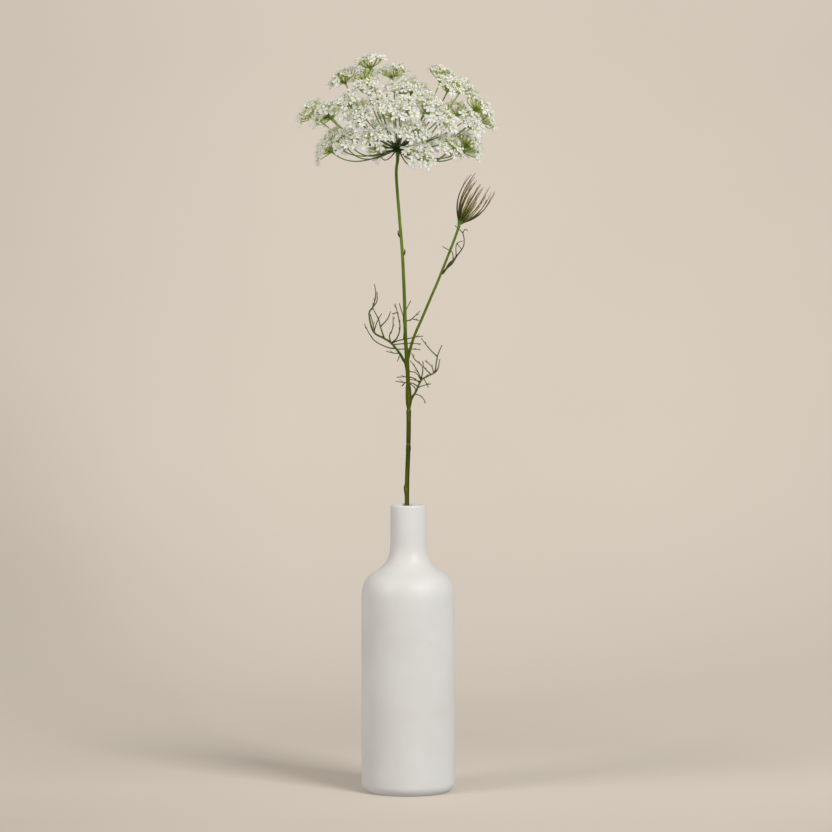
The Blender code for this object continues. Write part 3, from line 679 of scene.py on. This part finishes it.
def stem_finish():
    """Olive green below, brighter green above and lightened near the umbel as painted light, with fine
    streaks and a brown-green stripe on one side.
    """
    material, tree, shader = finished("stem_green", 0.5, 0.06)
    where = node(tree, "TexCoord").outputs["Object"]
    height = node(tree, "SeparateXYZ", {"Vector": where}).outputs["Z"]
    low, high = STEM_SPAN
    share = span(tree, height, low, high)
    green = ramp(tree, share, *(((place - low) / (high - low), colour) for place, colour in STEM_TONES))
    for place in STEM_RINGS:
        away = maths(tree, "ABSOLUTE", maths(tree, "SUBTRACT", height, place))
        green = mixed(tree, span(tree, away, RING_REACH, 0.0), green, srgb(*RING_GREEN))
    _, chance, side = tones(tree)
    streaks = ramp(tree, noise(tree, 1500, 3, (1, 1, 0.03)), (0.32, 0.62), (0.68, 1.18))
    streaked = shaded(tree, green, streaks)
    foot = ramp(tree, share, (0.22, 1.0), (0.34, 0.35), (0.5, 0.0))
    stripe = ramp(tree, side, (0.64, 0.0), (0.84, 0.85))
    dark = mixed(tree, maths(tree, "MULTIPLY", foot, stripe), streaked, srgb(48, 40, 10))
    worn = mixed(tree, ramp(tree, chance, (0.5, 0.0), (0.6, 0.8)), dark, srgb(58, 64, 16))
    scarred = mixed(tree, ramp(tree, chance, (0.8, 0.0), (0.9, 1.0)), worn, srgb(132, 140, 56))
    tree.links.new(scarred, shader.inputs["Base Color"])
    bumped(tree, shader, noise(tree, 1200, 3, (1, 1, 0.05)), 0.35, 0.12)
    return material


def leaf_finish(name, root, blade_colour, tip):
    """Threads of a leaf: dark at the stalk, green along, browned at their tips."""
    material, tree, shader = finished(name, 0.54, 0.12)
    along, chance, _ = tones(tree)
    green = ramp(tree, along, (0.0, root), (0.35, blade_colour), (0.80, blade_colour), (1.0, tip))
    patch = ramp(tree, noise(tree, 260, 3), (0.35, 0.72), (0.65, 1.2))
    patched = shaded(tree, green, patch)
    browned = mixed(tree, ramp(tree, chance, (0.55, 0.0), (1.0, 0.45)), patched, srgb(92, 78, 52))
    tree.links.new(browned, shader.inputs["Base Color"])
    bumped(tree, shader, noise(tree, 900, 2), 0.3, 0.1)
    return material


def plant_finish(name, base, middle, end, roughness=0.5, contrast=0.15):
    """A plant part whose colour runs from its foot to its end, lighter or darker from one to the next."""
    material, tree, shader = finished(name, roughness, 0.35)
    along, chance, _ = tones(tree)
    colour = ramp(tree, along, (0.04, base), (0.5, middle), (0.95, end))
    spread = ramp(tree, chance, (0.0, 1 - contrast), (1.0, 1 + contrast))
    varied = shaded(tree, colour, spread)
    mottle = ramp(tree, noise(tree, 700, 3), (0.3, 1 - contrast), (0.7, 1 + contrast * 0.6))
    tree.links.new(shaded(tree, varied, mottle), shader.inputs["Base Color"])
    bumped(tree, shader, noise(tree, 1600, 2), 0.25, 0.08)
    return material


def petal_finish():
    """White petals, green at the claw, with fine veins and a little light through them."""
    material, tree, shader = finished("petal_white", 0.6, 0.25, 0.9)
    along, chance, side = tones(tree)
    white = ramp(tree, along, (0.0, (184, 198, 112)), (0.25, (232, 236, 200)), (0.55, (252, 252, 246)))
    fresh = ramp(tree, chance, (0.0, (236, 240, 222)), (0.25, (255, 255, 252)), (1.0, (255, 255, 255)))
    toned = shaded(tree, white, fresh)
    vein = node(tree, "TexWave", {"Vector": node(tree, "CombineXYZ", {"X": side}).outputs[0], "Scale": 2.2})
    veined = ramp(tree, vein.outputs["Fac"], (0.0, 0.90), (0.5, 1.0))
    tree.links.new(shaded(tree, toned, veined), shader.inputs["Base Color"])
    crinkle = maths(tree, "ADD", noise(tree, 1100, 2), maths(tree, "MULTIPLY", vein.outputs["Fac"], 0.6))
    bumped(tree, shader, crinkle, 0.35, 0.15)
    return material


def backdrop_finish():
    """A warm grey studio sweep with painted shade, darker on the left, at the front and in its bend; seen
    only from inside.
    """
    material, tree, shader = finished("backdrop", 0.9, 0.05)
    colour = ramp(tree, noise(tree, 3, 3), (0.3, (213, 204, 192)), (0.7, (216, 207, 195)))
    where = node(tree, "SeparateXYZ", {"Vector": node(tree, "TexCoord").outputs["Object"]})
    # painted shade: the sweep's colour darkened across it from left to right and from its front to its back
    sides = ramp(tree, span(tree, where.outputs["X"], *SWEEP_WIDTH), *SWEEP_SIDE_SHADE)
    painted_depth_shade = ramp(tree, span(tree, where.outputs["Y"], *SWEEP_DEPTH), *SWEEP_SHADE_BANDS)
    tree.links.new(shaded(tree, shaded(tree, colour, sides), painted_depth_shade), shader.inputs["Base Color"])
    bumped(tree, shader, noise(tree, 300, 2), 0.03, 0.3)
    clear = node(tree, "BsdfTransparent").outputs[0]
    behind = node(tree, "NewGeometry").outputs["Backfacing"]
    mix = node(tree, "MixShader")
    for socket, value in zip(mix.inputs, (behind, shader.outputs[0], clear)):
        fed(tree, socket, value)
    tree.links.new(mix.outputs[0], tree.nodes["Material Output"].inputs["Surface"])
    return material


# Vase and water


def arc(centre, radius, start, end, pieces):
    """(radius, height) points on an arc, with its angles in degrees from outwards."""
    turns = [math.radians(start + (end - start) * k / pieces) for k in range(pieces + 1)]
    return [(centre[0] + radius * math.cos(a), centre[1] + radius * math.sin(a)) for a in turns]


def shoulder(inset, pieces):
    """(radius, height) points down the shoulder, from the neck to the body, set in by the wall."""
    neck, body, drop = NECK_RADIUS - inset, BODY_RADIUS - inset, inset / 2
    controls = (
        (neck, SHOULDER_HIGH - drop),
        (neck, SHOULDER_HIGH - SHOULDER_PULL_HIGH - drop),
        (body, SHOULDER_LOW + SHOULDER_PULL_LOW - drop),
        (body, SHOULDER_LOW - drop),
    )
    return [tuple(p) for p in bezier(controls, pieces + 1)]


def straight(start, end, pieces):
    """(radius, height) points between two ends, both left out."""
    shares = np.linspace(0, 1, pieces + 1)[1:-1]
    return [(start[0] + (end[0] - start[0]) * s, start[1] + (end[1] - start[1]) * s) for s in shares]


def vase():
    lip = WALL / 2
    inner = BODY_RADIUS - WALL
    hollow, depth = FOOT_HOLLOW
    inside = shoulder(WALL, 24)[::-1]
    outside = shoulder(0, 40)
    profile = [(0, FLOOR)]
    profile += arc((inner - INNER_ROUND, FLOOR + INNER_ROUND), INNER_ROUND, -90, 0, 8)
    profile += straight(profile[-1], inside[0], 12)
    profile += inside
    profile += straight(inside[-1], (NECK_RADIUS - WALL, VASE_HEIGHT - lip), 5)
    profile += arc((NECK_RADIUS - lip, VASE_HEIGHT - lip), lip, 180, 0, 14)
    profile += straight((NECK_RADIUS, VASE_HEIGHT - lip), outside[0], 5)
    profile += outside
    profile += straight(outside[-1], (BODY_RADIUS, BASE_ROUND), 14)
    profile += arc((BODY_RADIUS - BASE_ROUND, BASE_ROUND), BASE_ROUND, 0, -90, 12)
    profile += [(hollow, 0), (hollow - depth, depth), (0, depth)]
    growth = Growth(ceramic_finish())
    growth.add(turned(profile, VASE_SIDES))
    growth.piece("vase_ceramic_body", "vase", 60)


def water():
    """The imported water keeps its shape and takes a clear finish."""
    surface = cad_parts["water"]
    surface.data.materials.clear()
    surface.data.materials.append(water_finish())


# Stems


def girth(line):
    heights, radii = zip(*STEM_GIRTH)
    return np.interp(line[:, 2], heights, radii)


def bulged(shape, line, bulges):
    """Pushes a stem's skin out on one side, where a leaf once sat or still does."""
    points = shape.points.copy()
    for bulge in bulges:
        middle = np.array([np.interp(points[:, 2], line[:, 2], line[:, k]) for k in (0, 1)]).T
        away = points[:, :2] - middle
        length = np.maximum(np.linalg.norm(away, axis=1), 1e-6)
        facing = direction(bulge.facing, 0)[:2]
        towards = np.clip((away @ facing) / length, 0, 1) ** 1.5
        over = points[:, 2] - bulge.height
        fade = np.where(over > 0, over / bulge.above, -over / bulge.below)
        share = 0.5 + 0.5 * np.cos(math.pi * np.clip(fade, 0, 1))
        points[:, :2] += away / length[:, None] * (bulge.size * towards * share)[:, None]
    return shape._replace(points=points)


def stem(green):
    """The main stem with its joint, bulges and leaf stubs, and the side stem that grows out of it."""
    growth = Growth(green)
    line = smooth_line(STEM_LINE, 1.2)
    skin = tube(line, girth(line), 44, STEM_RIBS, 0.035)
    growth.add(bulged(skin, line, STEM_BULGES), chance=0.2)
    side = smooth_line(SIDE_LINE, 1.5)
    shares = np.linspace(0, 1, len(side))
    foot, end = 0.3 * np.exp(-shares * 16), 0.25 * np.exp((shares - 1) * 40)
    widths = SIDE_RADIUS * (1 + foot - 0.08 * shares + end)
    growth.add(tube(side, widths, 32, SIDE_RIBS, 0.04), chance=0.2)
    for height, facing, length in LEAF_STUBS:
        out = direction(facing, 0)
        middle = np.array([np.interp(height, line[:, 2], line[:, k]) for k in range(3)])
        controls = (
            middle + out * 0.4 - UP * length * 0.5,
            middle + out * 1.7 - UP * length * 0.3,
            middle + out * 2.3 + UP * length * 0.1,
            middle + out * 1.9 + UP * length * 0.55,
        )
        stub = bezier(controls, 9)
        growth.add(tube(stub, np.linspace(1.05, 0.3, 9), 14, 4, 0.06), chance=0.62)
    spot = np.array(BULGE_SPOT) + UP * np.linspace(-0.45, 0.45, 5)[:, None]
    growth.add(tube(spot, (0.25, 0.5, 0.6, 0.5, 0.25), 12), chance=1.0)
    growth.piece("stems", "stem")


# Leaves


def thread_radii(line, radius, swelling):
    """Radii that taper to the tip, wider round the middle of a swelling where one is given."""
    shares = np.linspace(0, 1, len(line))
    radii = radius * (1 + 0.5 * np.exp(-shares * 12))
    if not swelling:
        radii = radii + (THREAD_TIP - radii) * shares**2.2
    else:
        middle, wide, reach = swelling
        near = np.clip(1 - np.linalg.norm(line - middle, axis=1) / reach, 0, 1)
        radii = radii + (wide - radii) * near**0.7
    return radii


def lobes_of(line, radius, chance):
    """Short side points of a thread, near its end."""
    length = np.linalg.norm(np.diff(line, axis=0), axis=1).sum()
    runs, across, aside = steady_frames(line, (0, 1, 0))
    for place in np.arange(0.42, 0.9, LOBE_STEP / max(length, 6)):
        k = int((place + chance.uniform(-0.04, 0.04)) * (len(line) - 1))
        turn = chance.uniform(0, math.tau)
        out = swung(across[k], aside[k], turn)
        reach = chance.uniform(*LOBE_LENGTHS)
        heading = unit(runs[k] * 1.5 + out)
        bend = unit(runs[k] + out * 0.4 + UP * 0.25)
        knee = line[k] + heading * reach * 0.7
        controls = (line[k], line[k] + heading * reach * 0.4, knee, knee + bend * reach * 0.5)
        yield bezier(controls, 6), radius * 0.55


def leaf(name, root, strands, green, swelling):
    """A finely cut leaf of threads, each of which starts on an earlier one."""
    chance = np.random.default_rng(SEED + len(strands))
    growth = Growth(green)
    lines = []
    for number, strand in enumerate(strands):
        points = np.array(strand.points, float)
        if lines:
            points[0] = nearest_on(lines, points[0])
        else:
            inside = points[0] * (-0.1, 1, 0) - UP * 1.2
            points = np.vstack([inside, points])
        line = smooth_line(points, 0.9)
        lines.append(line)
        radii = thread_radii(line, strand.radius, None if number else swelling)
        luck = chance.uniform(0, 1)
        shape = tube(line + root, radii, 10, 5, 0.08)
        if swelling and not number:
            shape = shape._replace(along=shape.along * SHEATH_TONE)
        growth.add(shape, chance=luck)
        if not swelling:
            for lobe, width in lobes_of(line, strand.radius, chance):
                widths = np.linspace(width, THREAD_TIP * 0.7, len(lobe))
                shape = tube(lobe + root, widths, 7)
                growth.add(shape._replace(along=0.6 + 0.4 * shape.along), chance=luck)
    growth.piece(name + "_threads", name)


def leaves():
    """The two leaves of the main stem, and the small sheathed one on the side stem."""
    looks = (
        ("upper_leaf", UPPER_LEAF_ROOT, UPPER_LEAF, None, (40, 60, 10), (76, 100, 34), (108, 104, 52)),
        ("lower_leaf", LOWER_LEAF_ROOT, LOWER_LEAF, None, (50, 68, 12), (84, 102, 44), (112, 102, 60)),
        ("side_leaf", SIDE_LEAF_ROOT, SIDE_LEAF, SHEATH, (44, 52, 10), (86, 102, 44), (116, 104, 64)),
    )
    for name, root, strands, swelling, *greens in looks:
        leaf(name, root, strands, leaf_finish(name + "_green", *greens), swelling)


# Open umbel


def head_axis(ray):
    """The way an umbellet faces: its ray's direction, turned up a little, and more on a low ray."""
    lift = HEAD_LIFT + HEAD_LIFT_LOW * min(1, max(0, 1 - ray.rise / HEAD_LIFT_RISE))
    return unit(direction(ray.turn, ray.rise) + UP * lift)


def ray_tip(ray):
    return HUB + direction(ray.turn, ray.rise) * ray.length


def ray_line(ray, pieces):
    """A ray leaves the hub low, arches, and ends along its umbellet's axis."""
    reach = ray.length * RAY_REACH
    low = ray.rise - RAY_ARCH * math.cos(math.radians(ray.rise))
    tip = ray_tip(ray)
    start = HUB + direction(ray.turn, low) * HUB_RADIUS * 0.4
    controls = (start, HUB + direction(ray.turn, low) * reach, tip - head_axis(ray) * reach, tip)
    return bezier(controls, pieces + 1)


def bract_controls(number):
    """Curve of a bract under the hub, and its direction in degrees."""
    turn = 360 / INVOLUCRE * (number + 0.3)
    droop = BRACT_DROOP + 9 * math.sin(number * 2.1)
    length = BRACT_LENGTH * (0.85 + 0.2 * math.cos(number * 1.7))
    base = HUB - UP * HUB_HEIGHT * 0.3
    tip = base + direction(turn, -droop) * length
    bend = base + direction(turn, 4 - droop) * length * 0.5
    return (base, base + (bend - base) * 0.6, bend, tip), turn, droop, length


def umbel_rays():
    """The hub, its arching rays and the forked bracts below it."""
    chance = np.random.default_rng(SEED)
    growth = Growth(
        plant_finish("hub_green", (30, 44, 16), (40, 58, 22), (62, 84, 34)),
        plant_finish("ray_green", (44, 62, 22), (92, 116, 50), (138, 160, 72)),
        plant_finish("bract_green", (52, 70, 26), (78, 100, 40), (120, 118, 66)),
    )
    heights = np.linspace(-1, 1, 11)
    knob = HUB + UP * heights[:, None] * HUB_HEIGHT
    girths = HUB_RADIUS * np.sqrt(np.maximum(1 - heights**2, 0.10)) * np.where(heights < 0, 0.92, 1.0)
    growth.add(tube(knob, girths, 40, 13, 0.06), 0)
    for ray in RAYS:
        line = ray_line(ray, 16)
        shares = np.linspace(0, 1, len(line))
        wander = np.sin(shares * math.pi)[:, None] * chance.normal(0, 0.5, 3)
        radii = RAY_RADIUS * (0.86 + 0.55 * np.exp(-shares * 14) + 0.42 * np.exp((shares - 1) * 22))
        growth.add(tube(line + wander, radii, 12, 5, 0.08), 1, chance.uniform(0, 1))
    for number in range(INVOLUCRE):
        controls, turn, droop, length = bract_controls(number)
        line = bezier(controls, 12)
        luck = chance.uniform(0, 1)
        growth.add(tube(line, np.linspace(BRACT_RADIUS * 1.6, 0.12, 12), 8, flat=0.7), 2, luck)
        for k, sign in ((5, 1), (6, -1), (8, 1)):
            reach = length * (0.52 - k * 0.035)
            end = line[k] + direction(turn + 26 * sign, 5 - droop) * reach
            bend = line[k] + direction(turn + 34 * sign, -droop) * reach * 0.5
            fork = bezier((line[k], line[k] + (bend - line[k]) * 0.6, bend, end), 8)
            growth.add(tube(fork, np.linspace(BRACT_RADIUS, 0.1, 8), 7, flat=0.7), 2, luck)
    growth.piece("rays_and_hub", "umbel_rays")


HEAD_MIDDLES = np.array([ray_tip(ray) + head_axis(ray) * HEAD_CENTRE for ray in RAYS])


def kept_in_cell(place, number, reach):
    """Moves a floret back over the planes half way to the neighbouring umbellets."""
    own = HEAD_MIDDLES[number]
    others = np.delete(HEAD_MIDDLES, number, axis=0) - own
    gaps = np.linalg.norm(others, axis=1)
    ways = others / gaps[:, None]
    limits = gaps / 2 + CELL_OVERLAP - reach
    for _ in range(4):
        for way, limit in zip(ways, limits):
            over = (place - own) @ way - limit
            if over > 0:
                place = place - way * over
    return place


FILAMENT = bezier(((0.4, 0, 0), (0.8, 0, 0.5), (1.2, 0, 1.0), (1.7, 0, 1.5)), 4)
STAMEN = tube(FILAMENT, 0.05, 3)
ANTHER = tube(np.array(((1.6, -0.25, 1.5), (1.7, 0, 1.55), (1.8, 0.25, 1.5))), (0.1, 0.2, 0.1), 5)
PETAL_SLOT, CALYX_SLOT, PEDICEL_SLOT, BRACT_SLOT, STAMEN_SLOT = range(5)


def floret(growth, root, centre, facing, outward, ray_size, chance):
    """One floret: a pedicel, a ribbed green calyx, five notched petals and five stamens."""
    luck = chance.uniform(0, 1)
    collar = centre - facing * FLORET_DEPTH
    sway = (collar - root) * 0.4
    stalk = bezier((root, root + sway, collar - facing * 3.0, collar), 7)
    growth.add(tube(stalk, np.linspace(PEDICEL_RADIUS * 1.25, PEDICEL_RADIUS, 7), 6), PEDICEL_SLOT, luck)
    body = collar + facing * np.linspace(0, FLORET_DEPTH, 6)[:, None]
    growth.add(tube(body, (0.28, 0.46, 0.60, 0.60, 0.45, 0.35), 8, 4, 0.1), CALYX_SLOT, luck)
    if luck < BUD_SHARE:
        bud = centre + facing * np.linspace(-0.5, 1.7, 6)[:, None]
        growth.add(tube(bud, (0.5, 0.95, 1.15, 1.05, 0.7, 0.25), 10, 5, 0.12), PETAL_SLOT, 0.0)
        return
    aside = np.cross(facing, outward)
    twist = chance.uniform(-0.25, 0.25)
    for k in range(PETALS):
        turn = twist + math.tau * k / PETALS + chance.uniform(-0.16, 0.16)
        along = swung(outward, aside, turn)
        away = max(0.0, math.cos(turn)) ** 1.5 + 0.12
        length = PETAL_SHORT + (PETAL_LONG - PETAL_SHORT) * away * ray_size
        length *= chance.uniform(0.8, 1.12)
        lift = (chance.uniform(-0.05, 0.38), chance.uniform(-0.28, 0.25))
        width = length * chance.uniform(*PETAL_WIDTHS)
        notch = chance.uniform(*PETAL_NOTCHES)
        petal = blade(length, width, heart, notch, lift, chance.uniform(-0.15, 0.45))
        axes = (along, np.cross(facing, along), facing)
        growth.add(placed(petal, centre + along * 0.35, axes), PETAL_SLOT, luck)
    for k in range(PETALS):
        turn = twist + math.tau * (k + 0.5) / PETALS
        along = swung(outward, aside, turn)
        axes = (along, np.cross(facing, along), facing)
        growth.add(placed(STAMEN, centre, axes), STAMEN_SLOT, luck)
        growth.add(placed(ANTHER, centre, axes), STAMEN_SLOT, luck)


def umbellet(number, ray, materials):
    """A fan of florets on the tip of one ray, in a cup of narrow green bracts."""
    chance = np.random.default_rng(SEED + number)
    growth = Growth(*materials)
    axis = head_axis(ray)
    tip = ray_tip(ray)
    across = unit(np.cross(axis, UP if abs(axis[2]) < 0.95 else (1, 0, 0)))
    aside = np.cross(axis, across)
    rim = unit(direction(ray.turn, ray.rise) + UP * 0.1)
    knob = tip + axis * np.linspace(-0.3, 1.8, 6)[:, None]
    growth.add(tube(knob, (0.55, 0.8, 1.0, 1.05, 0.9, 0.5), 12, 6, 0.08), BRACT_SLOT, 0.3)
    start = chance.uniform(0, math.tau)
    for k in range(FLORETS):
        share = (k + 0.5) / FLORETS
        tilt = math.radians(FLORET_TILT) * math.sqrt(share) + chance.normal(0, 0.07)
        turn = start + k * GOLDEN_TURN
        outward = swung(across, aside, turn)
        along = swung(axis, outward, tilt)
        length = PEDICEL_LENGTH * (0.84 + 0.17 * share) * chance.uniform(0.78, 1.08)
        away = share**1.6 * (0.62 + 0.38 * max(0.0, outward @ rim))
        reach = PETAL_SHORT + (PETAL_LONG - PETAL_SHORT) * away * 0.7
        centre = kept_in_cell(tip + along * (length + 1.2), number, reach)
        root = tip + axis * 1.0 + outward * 0.7 * math.sin(tilt)
        facing = unit(unit(centre - root) + axis * 0.6 + chance.normal(0, 0.26, 3))
        spread = outward - facing * (outward @ facing)
        floret(growth, root, centre, facing, unit(spread), away, chance)
    for k in range(BRACTEOLES):
        turn = start + math.tau * (k + chance.uniform(-0.2, 0.2)) / BRACTEOLES
        outward = swung(across, aside, turn)
        tilt = math.radians(chance.uniform(34, 62))
        along = swung(axis, outward, tilt)
        flank = np.cross(axis, outward)
        length = chance.uniform(4.5, 7.5)
        shape = blade(length, 1.15, lance, 0, (0.0, chance.uniform(-0.1, 0.3)), 0.5, 6, 2, 0.18)
        axes = (along, flank, np.cross(along, flank))
        growth.add(placed(shape, tip + axis * 0.6 + along * 0.6, axes), BRACT_SLOT, chance.uniform(0, 1))
    growth.piece(f"florets_{number + 1:02d}", f"umbellet_{number + 1:02d}")


def umbellets():
    materials = (
        petal_finish(),
        plant_finish("calyx_green", (146, 174, 56), (172, 194, 78), (200, 208, 124)),
        plant_finish("pedicel_green", (116, 146, 34), (168, 186, 78), (198, 208, 118)),
        plant_finish("bracteole_green", (58, 82, 30), (96, 124, 46), (128, 152, 66), 0.5, 0.25),
        plant_finish("stamen_cream", (222, 226, 200), (232, 232, 212), (238, 234, 214), 0.6),
    )
    for number, ray in enumerate(RAYS):
        umbellet(number, ray, materials)


# Closed umbel


def basket_line(spin, width, length, count):
    """One curled ray of the closed umbel, at an angle round its axis."""
    axis = direction(0, 90 - BASKET_TILT)
    across = direction(0, -BASKET_TILT)
    aside = np.cross(axis, across)
    outward = swung(across, aside, spin)
    curve = bezier(BASKET_CURVE, count)
    return BASKET_BASE + np.outer(curve[:, 0] * length, axis) + np.outer(curve[:, 1] * width, outward)


def closed_umbel():
    """The small umbel on the side stem, curled shut like a basket, with brown thread-like tips."""
    chance = np.random.default_rng(SEED + 100)
    growth = Growth(
        plant_finish("closed_olive", (44, 50, 8), (80, 74, 18), (124, 102, 60), 0.55, 0.25),
        plant_finish("closed_base", (98, 136, 52), (82, 112, 36), (58, 76, 18)),
        plant_finish("closed_heart", (50, 64, 10), (124, 130, 34), (150, 142, 76), 0.55, 0.3),
    )
    axis = direction(0, 90 - BASKET_TILT)
    neck = BASKET_BASE + axis * np.linspace(-2.4, 4.2, 9)[:, None]
    growth.add(tube(neck, (1.05, 1.2, 1.6, 2.1, 2.6, 2.9, 2.8, 2.2, 0.8), 26, 12, 0.1), 1)
    shares = np.linspace(0, 1, 18)
    for ring, (count, width, length) in enumerate(BASKET_RINGS):
        for k in range(count):
            spin = math.tau * (k + 0.25 + 0.37 * ring + chance.uniform(-0.12, 0.12)) / count
            reach = length * (1 - BASKET_LEAN * math.cos(spin)) * chance.uniform(0.88, 1.04)
            spread = width * chance.uniform(0.92, 1.05)
            line = basket_line(spin, spread, reach, len(shares))
            luck = chance.uniform(0, 1)
            widths = BASKET_BRACT * (1 - 0.4 * shares - 0.28 * shares**4) * (1 if ring == 0 else 0.8)
            slot = 2 if ring > 1 else 0
            growth.add(tube(line, widths, 8, 4, 0.1), slot, luck)
            for share in BASKET_FORKS if ring else BASKET_FORKS[:1]:
                start = int(share * (len(shares) - 1))
                side = direction(math.degrees(spin) + chance.uniform(-140, 140), 20)
                end = line[-1] + side * chance.uniform(0.8, 2.2) - axis * chance.uniform(0.4, 5.0)
                way = line[start + 1] - line[start]
                knee = (line[start] + end) / 2 + side * 0.6
                fork = bezier((line[start], line[start] + way * 1.5, knee, end), 8)
                shape = tube(fork, np.linspace(0.26, 0.1, 8), 6)
                growth.add(shape._replace(along=share + (1 - share) * shape.along), slot, luck)
    growth.piece("closed_umbel_rays", "closed_umbel")


# Stage, light and camera


def stage():
    """A round sweep: a flat floor that curves up into a wall, closed to the eye only from inside."""
    floor = [(SWEEP_FLAT * k / 12, 0) for k in range(12)]
    curve = arc((SWEEP_FLAT, SWEEP_BEND), SWEEP_BEND, -90, 0, 40)
    wall = [(SWEEP_FLAT + SWEEP_BEND, SWEEP_TOP), (0, SWEEP_TOP + 0.4)]
    shape = turned(floor + curve + wall, 96)
    mesh = bpy.data.meshes.new("sweep")
    mesh.from_pydata(shape.points.tolist(), [], shape.faces)
    mesh.materials.append(backdrop_finish())
    mesh.shade_smooth()
    sweep = shown("sweep", mesh)
    sweep.visible_shadow = False
    sweep.visible_diffuse = False
    sweep.visible_glossy = False


def hang(lamp):
    """A square area light that faces the point that the lamps aim at."""
    light = bpy.data.lights.new(lamp.name, "AREA")
    light.shape = "SQUARE"
    light.size = lamp.size
    light.energy = lamp.power
    light.color = lamp.colour
    obj = shown(lamp.name, light)
    back = unit(np.subtract(lamp.place, LAMPS_AIM))
    right = unit(np.cross(UP, back))
    turn = Matrix(np.array((right, np.cross(back, right), back)).T.tolist()).to_4x4()
    obj.matrix_world = Matrix.Translation(lamp.place) @ turn
    obj.visible_camera = False


def lights():
    for lamp in LAMPS:
        hang(lamp)
    world = bpy.data.worlds.new("studio")
    world.use_nodes = True
    glow = world.node_tree.nodes["Background"]
    glow.inputs["Color"].default_value = SKY_COLOUR
    glow.inputs["Strength"].default_value = SKY_STRENGTH
    bpy.context.scene.world = world


def camera():
    data = bpy.data.cameras.new("camera")
    data.sensor_width = CAMERA_SENSOR
    data.lens = CAMERA_LENS
    data.clip_end = 50
    obj = shown("camera", data)
    obj.location = CAMERA_PLACE
    obj.rotation_euler = (math.radians(90 - CAMERA_PITCH), 0, 0)
    bpy.context.scene.camera = obj
    bpy.context.scene.view_settings.view_transform = "Standard"


camera()
stage()
lights()
vase()
water()
stem(stem_finish())
leaves()
umbel_rays()
umbellets()
closed_umbel()
